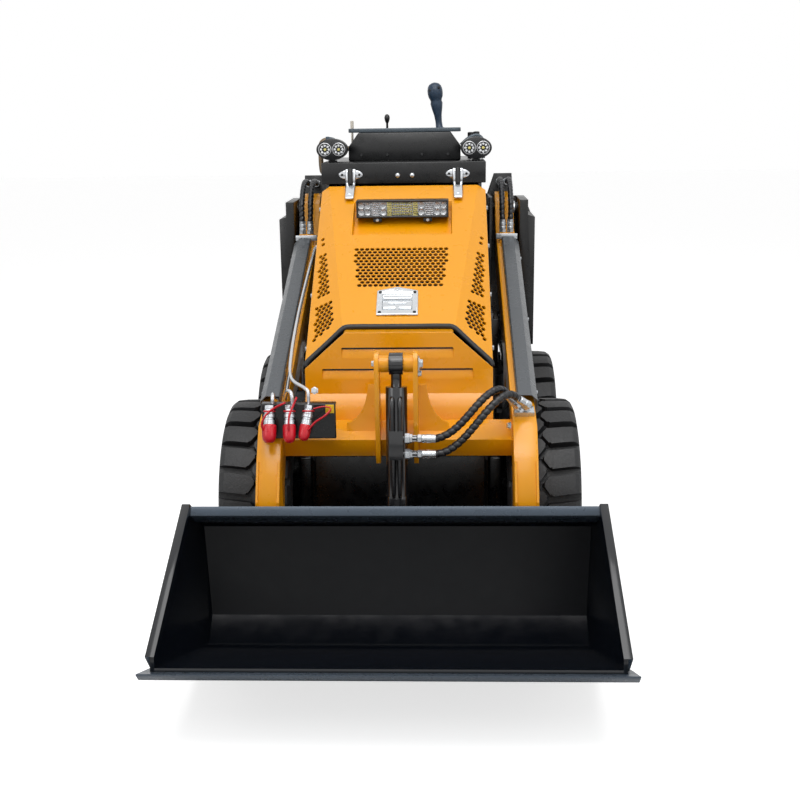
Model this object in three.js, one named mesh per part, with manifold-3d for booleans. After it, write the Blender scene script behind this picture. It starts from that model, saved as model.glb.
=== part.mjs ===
// A stand-on skid steer loader: four driven wheels, a plate chassis with a forward-tilting hood,
// two lift arms carried on rear towers, and a bucket on a pinned attachment plate.
// Millimetres, +Z up. The bucket end faces -Y, and X = 0 is the machine's centre plane.
// Heights are above the ground, and inside the machine group y = 0 is the front axle.
import * as THREE from "three";
import { ConvexGeometry } from "three/addons/geometries/ConvexGeometry.js";
import { mergeVertices } from "three/addons/utils/BufferGeometryUtils.js";
import Module from "manifold-3d";

const wasm = await Module();
wasm.setup();

// ---- Clearances -------------------------------------------------------------------------------
const seat = 0.3; // between pieces that are bolted or welded face to face
const pinClearance = 0.6; // between a pin and its bore
const eyeClearance = 6; // between a cylinder's eye and the ears beside it

// ---- Wheels -----------------------------------------------------------------------------------
const tyreRadius = 292;
const tyreWidth = 216;
const tyreFacets = 28;
const beadRadius = 152;
const rimFlangeRadius = 168;
const rimWidth = 177;
const halfTrack = 422;
const wheelBase = 710;
const spindleRadius = 28;
const axleHousingRadius = 62;

// ---- Chassis ----------------------------------------------------------------------------------
const chassisBottom = 160;
const sidePlateOuter = 262; // half width over the two side plates
const sidePlateThickness = 10;
const chassisRear = 985;
const chassisFront = -150;
const sheet = 4; // panels and cowl
const panelFront = -140;
const panelHalfWidth = 275;
const engineClearance = 42; // from the engine to each side plate
const panelTop = 826;
const panelLedge = 50; // how far the ledge runs back from the panel's face
const panelCornerGap = 24; // from the toe of the hood down to the corner cut from the panel
const panelBend = 644;
const apronReach = 32; // how far the apron stands in front of the panel's face
const apronTop = 602;
const apronBottom = 462;
const deckTop = 1281;
const cowlFront = 500;
const cowlBottom = 1211;
const cowlHalfWidth = 276;

// ---- Hood -------------------------------------------------------------------------------------
const hoodHingeY = -119;
const hoodHingeZ = 733;
const hoodHingeRadius = 6;
const hoodToeY = -126; // the hood's lower front corner
const hoodToeZ = 742;
const hoodHalfWidth = 275;
const hoodRearY = 494;
const hoodRearZ = 1205;
const hoodRearEdgeZ = 1188;
const hoodRearRidge = 249; // half width of the flat face at its rear
const hoodFrontRidge = 167; // half width of the flat face at its front
const hoodNoseY = -80;
const hoodNoseZ = 838;
const hoodSkirt = 34;
const hoodToeSkirt = 26;
const hoodSheet = 5;
const recessDepth = 35;

// ---- Lift arms --------------------------------------------------------------------------------
const armInner = 325;
const armOuter = 392;
const armPivotY = 930;
const armPivotZ = 1090;
const armHubRadius = 62;
const armPinRadius = 20;
const armSlope = Math.atan2(357, 900);
const armTopAt700 = 980;
const hoseLugHeight = 42;
const coverHeight = 32;
const coverThickness = 3;
const coverInner = armInner - 8;
const coverOuter = armOuter + 9;
const coverFrontY = -195;
const coverRearY = 700;
const legPinY = -340;
const legPinZ = 88;
const legBossRadius = 38;
const legPinRadius = 16;

// ---- Cross tube and tilt cylinder -------------------------------------------------------------
const crossTubeDepth = 94;
const crossTubeHeight = 58;
const crossTubeWall = 6;
const crossTubeY = -298; // its top front edge
const crossTubeZ = 549;
const clevisInner = 47;
const clevisThickness = 13;
const tiltTopY = -312;
const tiltTopZ = 772;
const tiltPinRadius = 17;
const tiltEyeRadius = 31;
const tiltEyeHalfWidth = 19;
const tiltBarrelRadius = 30;
const tiltBarrelEnd = 402; // from the top pin to the barrel's mouth
const tiltRodRadius = 16;
const tiltRodEyeRadius = 23;
const tiltRodInside = 272; // rod length kept inside the closed barrel
const tiltPortOffset = 40; // how far the ports' line stands in front of the barrel's axis
const tiltPorts = [203, 246]; // from the top pin down to each port
const tiltPortReach = 91;

// ---- Lift cylinders ---------------------------------------------------------------------------
const liftBaseY = 955;
const liftBaseZ = 665;
const liftArmPinY = 180;
const liftArmPinZ = 605;
const liftCentre = (armInner + armOuter) / 2;
const liftPinRadius = 16;
const liftBarrelRadius = 31;
const liftBarrelEnd = 566;
const liftEyeRadius = 30;
const liftEyeHalfWidth = 17;
const liftRodRadius = 18;
const liftRodInside = 476;

// ---- Rear towers ------------------------------------------------------------------------------
const towerInner = armInner - 25;
const towerPlate = 12;
const towerFrontY = 800;
const towerRearY = 1000;
const towerWall = 10;
const towerShelfZ = 600;
const towerPlateTop = 1140;
const sideBoxInner = armOuter + 18;
const sideBoxOuter = sideBoxInner + 55;
const sideBoxTop = 1131;
const sideBoxStepZ = 1070;
const sideBoxStepX = sideBoxInner + 30;
const bulkheadTop = 1215;

// ---- Bucket -----------------------------------------------------------------------------------
const bucketCurl = THREE.MathUtils.degToRad(21.3);
const bucketHeelY = -478;
const bucketHeelZ = 1;
const bucketHalfWidth = 530; // inside the side plates
const bucketSheet = 8;
const bucketSide = 10;
const bucketFloor = 600;
const bucketBackBend = new THREE.Vector2(-42, 84);
const bucketBackTop = new THREE.Vector2(95, 333);
const bucketLip = new THREE.Vector2(264, 365);
const wearStrip = 12;
const cuttingEdgeHalfWidth = 563;
const cuttingEdgeThickness = 16;
const cuttingEdgeDepth = 130;
const cuttingEdgeReach = 42;
const attachPlate = 12;
const legEarThickness = 14;
const legEarClearance = 6;
const tiltRodPinFromLegPin = new THREE.Vector2(-36.3, 124.8);

// ---- Operator's end ---------------------------------------------------------------------------
const consoleHalfWidth = 194;
const consoleTopHalfWidth = 159;
const consoleShoulder = 1329;
const consoleTop = 1376;
const consoleFrontY = 640;
const consoleRearY = 860;
const platformHalfWidth = 235;
const platformDepth = 330;
const platformThickness = 12;
const platformHingeY = 1004;
const platformHingeZ = 211;
const liftHoseRadius = 10;
const tiltHoseRadius = 11;

// ---- Finishes ---------------------------------------------------------------------------------
const yellowPaint = { color: 0xf0a010, roughness: 0.35, metalness: 0.1 };
const blackPaint = { color: 0x16181b, roughness: 0.4, metalness: 0.2 };
const bucketPaint = { color: 0x10141a, roughness: 0.25, metalness: 0.2 };
const greyCover = { color: 0x74797c, roughness: 0.45, metalness: 0.2 };
const darkSteel = { color: 0x3a3f45, roughness: 0.4, metalness: 0.6 };
const plating = { color: 0xc8ccd0, roughness: 0.3, metalness: 0.9 };
const chromeRod = { color: 0xe0e2e5, roughness: 0.1, metalness: 1 };
const tyreRubber = { color: 0x1b1c1e, roughness: 0.85, metalness: 0 };
const hoseRubber = { color: 0x15171c, roughness: 0.6, metalness: 0 };
const padVinyl = { color: 0x202124, roughness: 0.7, metalness: 0 };

// ---- Solids -----------------------------------------------------------------------------------
function solidOf(geometry) {
  const bare = geometry.index ? geometry.toNonIndexed() : geometry.clone();
  bare.deleteAttribute("normal");
  bare.deleteAttribute("uv");
  const merged = mergeVertices(bare, 1e-3);
  const vertProperties = new Float32Array(merged.attributes.position.array);
  const triVerts = new Uint32Array(merged.index.array);
  return new wasm.Manifold(new wasm.Mesh({ numProp: 3, vertProperties, triVerts }));
}

function geometryOf(solid) {
  const mesh = solid.getMesh();
  const geometry = new THREE.BufferGeometry();
  geometry.setAttribute("position", new THREE.BufferAttribute(new Float32Array(mesh.vertProperties), 3));
  geometry.setIndex(new THREE.BufferAttribute(new Uint32Array(mesh.triVerts), 1));
  geometry.computeVertexNormals();
  return geometry;
}

const join = (...pieces) => geometryOf(pieces.map(solidOf).reduce((whole, next) => whole.add(next)));

function cut(piece, ...tools) {
  return geometryOf(tools.map(solidOf).reduce((left, tool) => left.subtract(tool), solidOf(piece)));
}

// Shapes drawn in the (y, z) plane become plates between two X planes, and so on for Y and Z.
const acrossX = new THREE.Matrix4().makeBasis(
  new THREE.Vector3(0, 1, 0),
  new THREE.Vector3(0, 0, 1),
  new THREE.Vector3(1, 0, 0),
);
const acrossY = new THREE.Matrix4().makeBasis(
  new THREE.Vector3(1, 0, 0),
  new THREE.Vector3(0, 0, 1),
  new THREE.Vector3(0, -1, 0),
);

const outline = (points) => new THREE.Shape(points.map(([a, b]) => new THREE.Vector2(a, b)));

function extruded(shape, depth) {
  return new THREE.ExtrudeGeometry(shape, { depth, bevelEnabled: false, curveSegments: 8 });
}

function plateX(points, from, to) {
  const shape = points instanceof THREE.Shape ? points : outline(points);
  return extruded(shape, to - from).applyMatrix4(acrossX).translate(from, 0, 0);
}

function plateY(points, from, to) {
  const shape = points instanceof THREE.Shape ? points : outline(points);
  return extruded(shape, to - from).applyMatrix4(acrossY).translate(0, to, 0);
}

function plateZ(points, from, to) {
  const shape = points instanceof THREE.Shape ? points : outline(points);
  return extruded(shape, to - from).translate(0, 0, from);
}

function block(x0, x1, y0, y1, z0, z1) {
  const box = new THREE.BoxGeometry(x1 - x0, y1 - y0, z1 - z0);
  return box.translate((x0 + x1) / 2, (y0 + y1) / 2, (z0 + z1) / 2);
}

function rodX(radius, from, to, y, z, facets = 24) {
  const rod = new THREE.CylinderGeometry(radius, radius, to - from, facets).rotateZ(Math.PI / 2);
  return rod.translate((from + to) / 2, y, z);
}

function rodBetween(start, end, radius, facets = 16) {
  const run = end.clone().sub(start);
  const rod = new THREE.CylinderGeometry(radius, radius, run.length(), facets);
  const turn = new THREE.Quaternion();
  turn.setFromUnitVectors(new THREE.Vector3(0, 1, 0), run.clone().normalize());
  return rod.applyQuaternion(turn).translate(...start.clone().add(end).multiplyScalar(0.5).toArray());
}

function tubeAlong(points, radius, sides, steps) {
  const section = [];
  for (let i = 0; i < sides; i += 1) {
    const angle = (2 * Math.PI * i) / sides;
    section.push([radius * Math.cos(angle), radius * Math.sin(angle)]);
  }
  const path = new THREE.CatmullRomCurve3(points.map((p) => new THREE.Vector3(...p)));
  return new THREE.ExtrudeGeometry(outline(section), { steps, bevelEnabled: false, extrudePath: path });
}

// A path moved to its left by a distance, with mitred corners.
function offsetPath(path, distance) {
  const points = path.map(([a, b]) => new THREE.Vector2(a, b));
  return points.map((point, i) => {
    const before = points[Math.max(i - 1, 0)];
    const after = points[Math.min(i + 1, points.length - 1)];
    const last = points.length - 1;
    const arriving = (i === 0 ? after.clone().sub(point) : point.clone().sub(before)).normalize();
    const leaving = i === last ? arriving.clone() : after.clone().sub(point).normalize();
    const leftIn = new THREE.Vector2(-arriving.y, arriving.x);
    const leftOut = new THREE.Vector2(-leaving.y, leaving.x);
    const mitre = leftIn.clone().add(leftOut).normalize();
    const corner = point.clone().add(mitre.multiplyScalar(distance / mitre.dot(leftIn)));
    return [corner.x, corner.y];
  });
}

const bentSheet = (path, thickness) => [...path, ...offsetPath(path, thickness).reverse()];

// The loader, with y counted from the front axle, shifted so that its box is centred on y = 0.
const frontmostY = bucketHeelY - (bucketFloor + cuttingEdgeReach) * Math.cos(bucketCurl);
const rearmostY = platformHingeY + platformDepth;
const loader = new THREE.Group();
const machine = new THREE.Group();
machine.position.y = -(frontmostY + rearmostY) / 2;
loader.add(machine);

function piece(name, geometry, finish, parent = machine) {
  const mesh = new THREE.Mesh(geometry, new THREE.MeshStandardMaterial(finish));
  mesh.name = name;
  parent.add(mesh);
  return mesh;
}

const mirrored = (geometry) => {
  const copy = solidOf(geometry).mirror([1, 0, 0]);
  return geometryOf(copy);
};

function bothSides(name, geometry, finish, parent = machine) {
  piece(`${name}_left`, geometry, finish, parent);
  piece(`${name}_right`, mirrored(geometry), finish, parent);
}

// ---- Wheels: a tyre on a dished rim whose hub turns on the chassis spindle --------------------
const tyreCrown = tyreRadius / Math.cos(Math.PI / tyreFacets);
const rimFlange = rimWidth / 2;

function lathedAboutX(profile, facets) {
  const points = profile.map(([radius, along]) => new THREE.Vector2(radius, along));
  const turned = new THREE.LatheGeometry(points, facets);
  return turned.rotateY(Math.PI / facets).rotateZ(-Math.PI / 2);
}

function tyreGeometry() {
  const side = tyreWidth / 2;
  const section = [
    [beadRadius, -rimFlange + seat],
    [rimFlangeRadius + seat, -rimFlange + seat],
    [186, -side + 6],
    [222, -side],
    [268, -side + 2],
    [tyreCrown - 3, -80],
    [tyreCrown, -50],
    [tyreCrown, 50],
    [tyreCrown - 3, 80],
    [268, side - 2],
    [222, side],
    [186, side - 6],
    [rimFlangeRadius + seat, rimFlange - seat],
    [beadRadius, rimFlange - seat],
    [beadRadius, -rimFlange + seat],
  ];
  return lathedAboutX(section, tyreFacets);
}

function rimGeometry() {
  const barrel = beadRadius - seat;
  const bore = spindleRadius + pinClearance;
  const lip = rimFlange + 6;
  const profile = [
    [0, 24],
    [45, 24],
    [48, -5],
    [142, -5],
    [142, lip],
    [rimFlangeRadius, lip],
    [rimFlangeRadius, rimFlange],
    [barrel, rimFlange],
    [barrel, -rimFlange],
    [rimFlangeRadius, -rimFlange],
    [rimFlangeRadius, -lip],
    [142, -lip],
    [142, -14],
    [72, -14],
    [72, -42],
    [bore, -42],
    [bore, 6],
    [0, 6],
  ];
  return lathedAboutX([...profile].reverse(), tyreFacets);
}

for (const [end, y] of [["front", 0], ["rear", wheelBase]]) {
  for (const [side, sign] of [["left", 1], ["right", -1]]) {
    const tyre = piece(`tyre_${end}_${side}`, tyreGeometry(), tyreRubber);
    tyre.position.set(sign * halfTrack, y, tyreRadius);
    const rimSolid = sign > 0 ? rimGeometry() : mirrored(rimGeometry());
    const rim = piece(`rim_${end}_${side}`, rimSolid, blackPaint);
    rim.position.set(sign * halfTrack, y, tyreRadius);
  }
}

// ---- Chassis: two side plates carry the axle housings, the pans, the cowl and the towers ------
const hoodEdgeSlope = (hoodRearEdgeZ - hoodToeZ) / (hoodRearY - hoodToeY);
const underHood = (y) => hoodToeZ + hoodEdgeSlope * (y - hoodToeY) - 26;
const apronFront = panelFront - apronReach;
const panelPath = [
  [panelFront + panelLedge, panelTop],
  [panelFront, panelTop],
  [panelFront, panelBend],
  [apronFront, apronTop],
  [apronFront, apronBottom],
];
const [, , panelBendBack, apronTopBack, apronBottomBack] = offsetPath(panelPath, sheet + seat);
const plateInner = sidePlateOuter - sidePlateThickness;

function sidePlateGeometry() {
  const plate = plateX(
    [
      [chassisFront, chassisBottom],
      [chassisRear, chassisBottom],
      [chassisRear, deckTop - sheet - seat],
      [cowlFront + sheet + seat, deckTop - sheet - seat],
      [cowlFront + sheet + seat, underHood(cowlFront - 25)],
      [cowlFront - 25, underHood(cowlFront - 25)],
      [hoodHingeY + 24, underHood(hoodHingeY + 24)],
      [hoodHingeY, hoodHingeZ + hoodHingeRadius + 1],
      [hoodHingeY - hoodHingeRadius - 3, hoodHingeZ],
      [panelBendBack[0], panelBend + 60],
      panelBendBack,
      apronTopBack,
      apronBottomBack,
      [chassisFront, apronBottom - 20],
    ],
    plateInner,
    sidePlateOuter,
  );
  const spindles = [0, wheelBase].flatMap((y) => [
    rodX(axleHousingRadius, sidePlateOuter - 2, halfTrack - 50, y, tyreRadius),
    rodX(spindleRadius, sidePlateOuter, halfTrack + 2, y, tyreRadius),
  ]);
  const hoodStud = hoodHalfWidth - hoodSheet - seat;
  const stud = rodX(hoodHingeRadius, sidePlateOuter - 2, hoodStud, hoodHingeY, hoodHingeZ, 16);
  return join(plate, ...spindles, stud);
}

bothSides("chassis_side", sidePlateGeometry(), blackPaint);

const panHalfWidth = plateInner - seat;
const panTop = chassisBottom + 10;
piece(
  "belly_pan",
  block(-panHalfWidth, panHalfWidth, chassisFront, chassisRear - 15, chassisBottom, panTop),
  blackPaint,
);
piece(
  "front_plate",
  block(-panHalfWidth, panHalfWidth, chassisFront, chassisFront + 10, panTop + seat, apronBottom - 7),
  blackPaint,
);
const engineHalfWidth = plateInner - engineClearance;
piece("engine_block", block(-engineHalfWidth, engineHalfWidth, 90, 560, panTop + seat, 640), darkSteel);
const rearCoverBack = chassisRear - 5;
const rearCoverFront = chassisRear - 15;
const platformPinRadius = 8;
const platformKnuckle = 16;

function rearCoverGeometry() {
  const bottom = panTop + seat;
  const top = deckTop - sheet - seat;
  const cover = block(-panHalfWidth, panHalfWidth, rearCoverFront, rearCoverBack, bottom, top);
  const lugs = [-1, 1].flatMap((side) => {
    const from = side > 0 ? 190 : -198;
    const lug = plateX(
      [
        [rearCoverBack - 1, platformHingeZ - 18],
        [platformHingeY + 2, platformHingeZ - 16],
        [platformHingeY + 14, platformHingeZ - 6],
        [platformHingeY + 14, platformHingeZ + 10],
        [rearCoverBack - 1, platformHingeZ + 22],
      ],
      from,
      from + 8,
    );
    const pinFrom = side > 0 ? 150 : -192;
    const pin = rodX(platformPinRadius, pinFrom, pinFrom + 42, platformHingeY, platformHingeZ, 16);
    return [lug, pin];
  });
  return join(cover, ...lugs);
}

piece("rear_cover", rearCoverGeometry(), blackPaint);

// ---- Front panel: one bent sheet below the hood, its top corners cut to the hood's edge -------
function frontPanelGeometry() {
  const whole = plateX(bentSheet(panelPath, sheet), -panelHalfWidth, panelHalfWidth);
  const cornerDrop = panelTop - (hoodToeZ - panelCornerGap);
  const corner = (side) => plateY(
    [
      [side * (hoodFrontRidge - panelCornerGap / 2), panelTop + 1],
      [side * (panelHalfWidth + 1), panelTop - cornerDrop],
      [side * (panelHalfWidth + 1), panelTop + 1],
    ],
    panelFront - 5,
    panelFront + panelLedge + 5,
  );
  return cut(whole, corner(1), corner(-1));
}

piece("front_panel", frontPanelGeometry(), yellowPaint);

// ---- Cowl: the black band and deck behind the hood --------------------------------------------
piece(
  "cowl",
  join(
    block(-cowlHalfWidth, cowlHalfWidth, cowlFront, cowlFront + sheet, cowlBottom, deckTop),
    block(-cowlHalfWidth, cowlHalfWidth, cowlFront, chassisRear, deckTop - sheet, deckTop),
    block(-cowlHalfWidth, -cowlHalfWidth + sheet, cowlFront, chassisRear, cowlBottom, deckTop),
    block(cowlHalfWidth - sheet, cowlHalfWidth, cowlFront, chassisRear, cowlBottom, deckTop),
  ),
  blackPaint,
);

// ---- Console, controls, lamps and hand holds on the deck --------------------------------------
function consoleSection(inset, foot) {
  const shoulder = consoleShoulder - inset * 0.6;
  return [
    [-consoleHalfWidth + inset, foot],
    [consoleHalfWidth - inset, foot],
    [consoleHalfWidth - inset, shoulder],
    [consoleTopHalfWidth - inset, consoleTop - inset],
    [-consoleTopHalfWidth + inset, consoleTop - inset],
    [-consoleHalfWidth + inset, shoulder],
  ];
}

piece(
  "console",
  cut(
    plateY(consoleSection(0, deckTop + seat), consoleFrontY, consoleRearY),
    plateY(consoleSection(sheet, deckTop - 5), consoleFrontY + sheet, consoleRearY - sheet),
  ),
  blackPaint,
);

function grabBarGeometry() {
  const halfDepth = 20;
  const halfLength = 195 - halfDepth;
  const shape = new THREE.Shape();
  shape.moveTo(-halfLength, -halfDepth);
  shape.lineTo(halfLength, -halfDepth);
  shape.absarc(halfLength, 0, halfDepth, -Math.PI / 2, Math.PI / 2, false);
  shape.lineTo(-halfLength, halfDepth);
  shape.absarc(-halfLength, 0, halfDepth, Math.PI / 2, (3 * Math.PI) / 2, false);
  return plateZ(shape, consoleTop + seat, consoleTop + 14).translate(0, consoleFrontY + 30, 0);
}

piece("grab_bar", grabBarGeometry(), blackPaint);

function standing(profile, facets = 18) {
  const points = profile.map(([radius, height]) => new THREE.Vector2(radius, height));
  return new THREE.LatheGeometry(points, facets).rotateX(Math.PI / 2);
}

const gripProfile = [
  [0, 0],
  [26, 0],
  [26, 6],
  [13, 34],
  [10, 60],
  [20, 106],
  [25, 131],
  [25, 146],
  [18, 164],
  [0, 170],
];
const joystick = piece(
  "joystick",
  standing(gripProfile),
  { color: 0x12202e, roughness: 0.4, metalness: 0.1 },
);
joystick.position.set(120, 760, consoleTop + seat);
const throttle = piece(
  "throttle_lever",
  standing([[0, 0], [9, 0], [9, 4], [4, 6], [4, 38], [10, 42], [12, 52], [9, 60], [0, 62]], 16),
  blackPaint,
);
throttle.position.set(-64, 760, consoleTop + seat);

const lampX = 246;
const lampZ = 1323;
const lampY = 600;

function workLightGeometry() {
  const oval = new THREE.Shape();
  oval.absellipse(lampX, lampZ, 53, 36, 0, 2 * Math.PI, false, 0);
  const body = new THREE.ExtrudeGeometry(oval, { depth: 50, bevelEnabled: false, curveSegments: 18 });
  const lamp = body.applyMatrix4(acrossY).translate(0, lampY + 25, 0);
  const foot = block(lampX - 14, lampX + 14, lampY - 12, lampY + 20, deckTop + seat, deckTop + 5);
  const stem = block(lampX - 8, lampX + 8, lampY - 5, lampY + 13, deckTop + 4, lampZ - 30);
  return join(lamp, foot, stem);
}

bothSides("work_light", workLightGeometry(), blackPaint);

const hoopX = -296;
piece(
  "grab_hoop",
  tubeAlong(
    [
      [-consoleHalfWidth - seat, 700, 1322],
      [-consoleHalfWidth - 12, 700, 1322],
      [-250, 700, 1346],
      [-278, 700, 1352],
      [hoopX + 3, 700, 1342],
      [hoopX, 700, 1320],
      [hoopX, 700, 1262],
      [hoopX + 4, 700, 1242],
      [-cowlHalfWidth - 6, 700, 1236],
      [-cowlHalfWidth - seat, 700, 1236],
    ],
    9,
    8,
    24,
  ),
  darkSteel,
);

// ---- Rear towers: inner plate, shelf, rear wall and side box on each side, with both arm-side pins 
function towerGeometry() {
  const innerOuter = towerInner + towerPlate;
  const inner = block(towerInner, innerOuter, towerFrontY, towerRearY + 1, towerShelfZ, towerPlateTop);
  const foot = sidePlateOuter + seat;
  const shelf = block(foot, sideBoxOuter, towerFrontY, towerRearY + 1, towerShelfZ, towerShelfZ + 10);
  const wall = plateY(
    [
      [foot, 560],
      [sideBoxOuter, 560],
      [sideBoxOuter, sideBoxStepZ],
      [sideBoxStepX, sideBoxTop],
      [armOuter + 6, sideBoxTop],
      [armOuter, bulkheadTop],
      [armInner, bulkheadTop],
      [towerInner, towerPlateTop],
      [foot, towerPlateTop],
    ],
    towerRearY,
    towerRearY + towerWall,
  );
  const box = plateY(
    [
      [sideBoxInner, towerShelfZ],
      [sideBoxOuter, towerShelfZ],
      [sideBoxOuter, sideBoxStepZ],
      [sideBoxStepX, sideBoxStepZ + 8],
      [sideBoxStepX, sideBoxTop],
      [sideBoxInner, sideBoxTop],
    ],
    towerFrontY - 20,
    towerRearY + 1,
  );
  const flange = block(foot, towerInner + 2, chassisRear - 60, towerRearY + 1, 700, towerPlateTop - 60);
  const armPin = rodX(armPinRadius, towerInner + 2, sideBoxInner + 2, armPivotY, armPivotZ);
  const liftPin = rodX(liftPinRadius, towerInner + 2, sideBoxInner + 2, liftBaseY, liftBaseZ);
  return join(inner, shelf, wall, box, flange, armPin, liftPin);
}

bothSides("tower", towerGeometry(), blackPaint);

// ---- Thigh pad and folding platform at the operator's end -------------------------------------
piece("thigh_pad", block(-190, 190, rearCoverBack + seat, rearCoverBack + 38, 905, 1125), padVinyl);

function platformGeometry() {
  const top = platformHingeZ + platformThickness / 2;
  const bottom = platformHingeZ - platformThickness / 2;
  const tread = block(
    -platformHalfWidth,
    platformHalfWidth,
    platformHingeY + platformKnuckle + 6,
    platformHingeY + platformDepth,
    bottom,
    top,
  );
  const arms = [-1, 1].map((side) => {
    const from = side > 0 ? 146 : -184;
    return block(from, from + 38, platformHingeY, platformHingeY + 60, bottom, top);
  });
  const knuckles = [-1, 1].map((side) => {
    const from = side > 0 ? 146 : -184;
    return rodX(platformKnuckle, from, from + 38, platformHingeY, platformHingeZ, 20);
  });
  const bores = [-1, 1].map((side) => {
    const from = side > 0 ? 140 : -190;
    return rodX(platformPinRadius + pinClearance, from, from + 50, platformHingeY, platformHingeZ, 16);
  });
  return cut(join(tread, ...arms, ...knuckles), ...bores);
}

piece("platform", platformGeometry(), blackPaint);

// ---- Hood: a folded shell that tips forward about its lower front edge ------------------------
const hoodFaceSlope = (hoodRearZ - hoodNoseZ) / (hoodRearY - hoodNoseY);
const hoodFaceZ = (y) => hoodNoseZ + hoodFaceSlope * (y - hoodNoseY);
const hoodEdgeZ = (y) => hoodToeZ + hoodEdgeSlope * (y - hoodToeY);

function hoodHull(inset, stretch) {
  const drop = inset * 1.22; // the sheet's thickness measured straight down
  const points = [];
  for (const side of [-1, 1]) {
    const edge = side * (hoodHalfWidth - inset);
    const rearRidge = side * (hoodRearRidge - inset * 0.6);
    const frontRidge = side * (hoodFrontRidge - inset * 0.6);
    const rearY = hoodRearY - inset;
    const noseY = hoodNoseY - stretch;
    const toeY = hoodToeY - stretch;
    points.push(new THREE.Vector3(rearRidge, rearY, hoodFaceZ(rearY) - drop));
    points.push(new THREE.Vector3(edge, rearY, hoodEdgeZ(rearY) - drop));
    points.push(new THREE.Vector3(edge, rearY, hoodRearEdgeZ - hoodSkirt - stretch));
    points.push(new THREE.Vector3(frontRidge, noseY, hoodFaceZ(noseY) - drop));
    points.push(new THREE.Vector3(edge, toeY, hoodEdgeZ(toeY) - drop));
    points.push(new THREE.Vector3(edge, toeY, hoodToeZ - hoodToeSkirt - stretch));
  }
  return new ConvexGeometry(points);
}

const recessTop = 421;
const recessBottom = 276;

function recessTool(grow) {
  const floorAt = (y) => hoodFaceZ(y) - recessDepth - grow;
  const shape = [
    [recessBottom - grow, floorAt(recessBottom)],
    [recessTop + grow, floorAt(recessTop)],
    [recessTop + grow, hoodFaceZ(recessTop) + 60],
    [recessBottom - grow, hoodFaceZ(recessBottom) + 60],
  ];
  return plateX(shape, -160 - grow, 160 + grow);
}

function hoodGeometry() {
  const outer = cut(hoodHull(0, 0), recessTool(0));
  const inner = cut(hoodHull(hoodSheet, 40), recessTool(hoodSheet));
  return cut(outer, inner);
}

piece("hood_shell", hoodGeometry(), yellowPaint);

const lightBarFront = 345;
const lightBarRear = 400;
const lightBarBottom = hoodFaceZ(lightBarRear) - recessDepth + seat;
piece(
  "light_bar",
  block(-150, 150, lightBarFront, lightBarRear, lightBarBottom, lightBarBottom + 58),
  darkSteel,
);

const handle = piece("hood_handle", block(-63, 63, -60, 60, seat, 4), plating);
handle.position.set(0, -9, hoodFaceZ(-9));
handle.rotation.x = Math.atan(hoodFaceSlope);

// ---- Lift arms: box beams with a leg at the front, hung on the tower pins ---------------------
const armTop = (y) => armTopAt700 + Math.tan(armSlope) * (y - 700);
const nose = [coverFrontY - 20, armTop(coverFrontY - 20)];
const elbow = [-300, 590];
const knee = [-360, 505];

function armGeometry() {
  const beam = plateX(
    [
      [armPivotY + 10, armPivotZ + armHubRadius - 3],
      [armPivotY - 60, armPivotZ + 26],
      [armPivotY - 110, armTop(armPivotY - 110)],
      nose,
      elbow,
      knee,
      [-411, 402],
      [-411, 374],
      [-395, 342],
      [legPinY - legBossRadius, legPinZ],
      [legPinY + legBossRadius, legPinZ],
      [legPinY + legBossRadius, 200],
      [-312, 292],
      [-309, 350],
      [-285, 430],
      [-240, 500],
      [-175, 556],
      [-100, 590],
      [0, 602],
      [60, 612],
      [860, 905],
      [armPivotY + 10, armPivotZ - armHubRadius + 1],
    ],
    armInner,
    armOuter,
  );
  const hub = rodX(armHubRadius, armInner, armOuter, armPivotY, armPivotZ, 36);
  const boss = rodX(legBossRadius, armInner, armOuter, legPinY, legPinZ, 32);
  const ears = [armInner, armOuter - 10].map((from) => plateX(
    [
      [liftArmPinY - 30, liftArmPinZ - 6],
      [liftArmPinY - 14, liftArmPinZ - 26],
      [liftArmPinY + 14, liftArmPinZ - 26],
      [liftArmPinY + 30, liftArmPinZ - 6],
      [liftArmPinY + 60, 680],
      [liftArmPinY - 60, 660],
    ],
    from,
    from + 10,
  ));
  const lugTop = armTop(coverRearY) + hoseLugHeight;
  const hoseLug = block(armInner + 8, armOuter - 8, coverRearY + 4, coverRearY + 34, lugTop - 47, lugTop);
  const bores = [
    rodX(armPinRadius + pinClearance, armInner - 1, armOuter + 1, armPivotY, armPivotZ),
    rodX(legPinRadius + pinClearance, armInner - 1, armOuter + 1, legPinY, legPinZ),
  ];
  return cut(join(beam, hub, boss, ...ears, hoseLug), ...bores);
}

bothSides("arm", armGeometry(), yellowPaint);

function coverGeometry() {
  const top = coverHeight;
  const t = coverThickness;
  const section = [
    [coverInner, 0],
    [coverInner, top - 4],
    [coverInner + 4, top],
    [coverOuter - 18, top],
    [coverOuter, top - 20],
    [coverOuter, -30],
    [coverOuter - t, -30],
    [coverOuter - t, top - 21],
    [coverOuter - 19, top - t],
    [coverInner + 5, top - t],
    [coverInner + t, top - 5],
    [coverInner + t, 0],
  ];
  const length = (coverRearY - coverFrontY) / Math.cos(armSlope);
  const channel = plateY(section, 0, length);
  const spacers = [60, length / 2, length - 60].map((y) => (
    block(armOuter + seat, coverOuter - t + 1, y, y + 30, -26, -8)
  ));
  const whole = join(channel, ...spacers);
  return whole.rotateX(armSlope).translate(0, coverFrontY, armTop(coverFrontY) + seat);
}

bothSides("hose_cover", coverGeometry(), greyCover);

// ---- Cross tube with the tilt cylinder's clevis -----------------------------------------------
const alongArm = new THREE.Vector2(Math.cos(armSlope), Math.sin(armSlope));
const offArm = new THREE.Vector2(-Math.sin(armSlope), Math.cos(armSlope));

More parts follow.
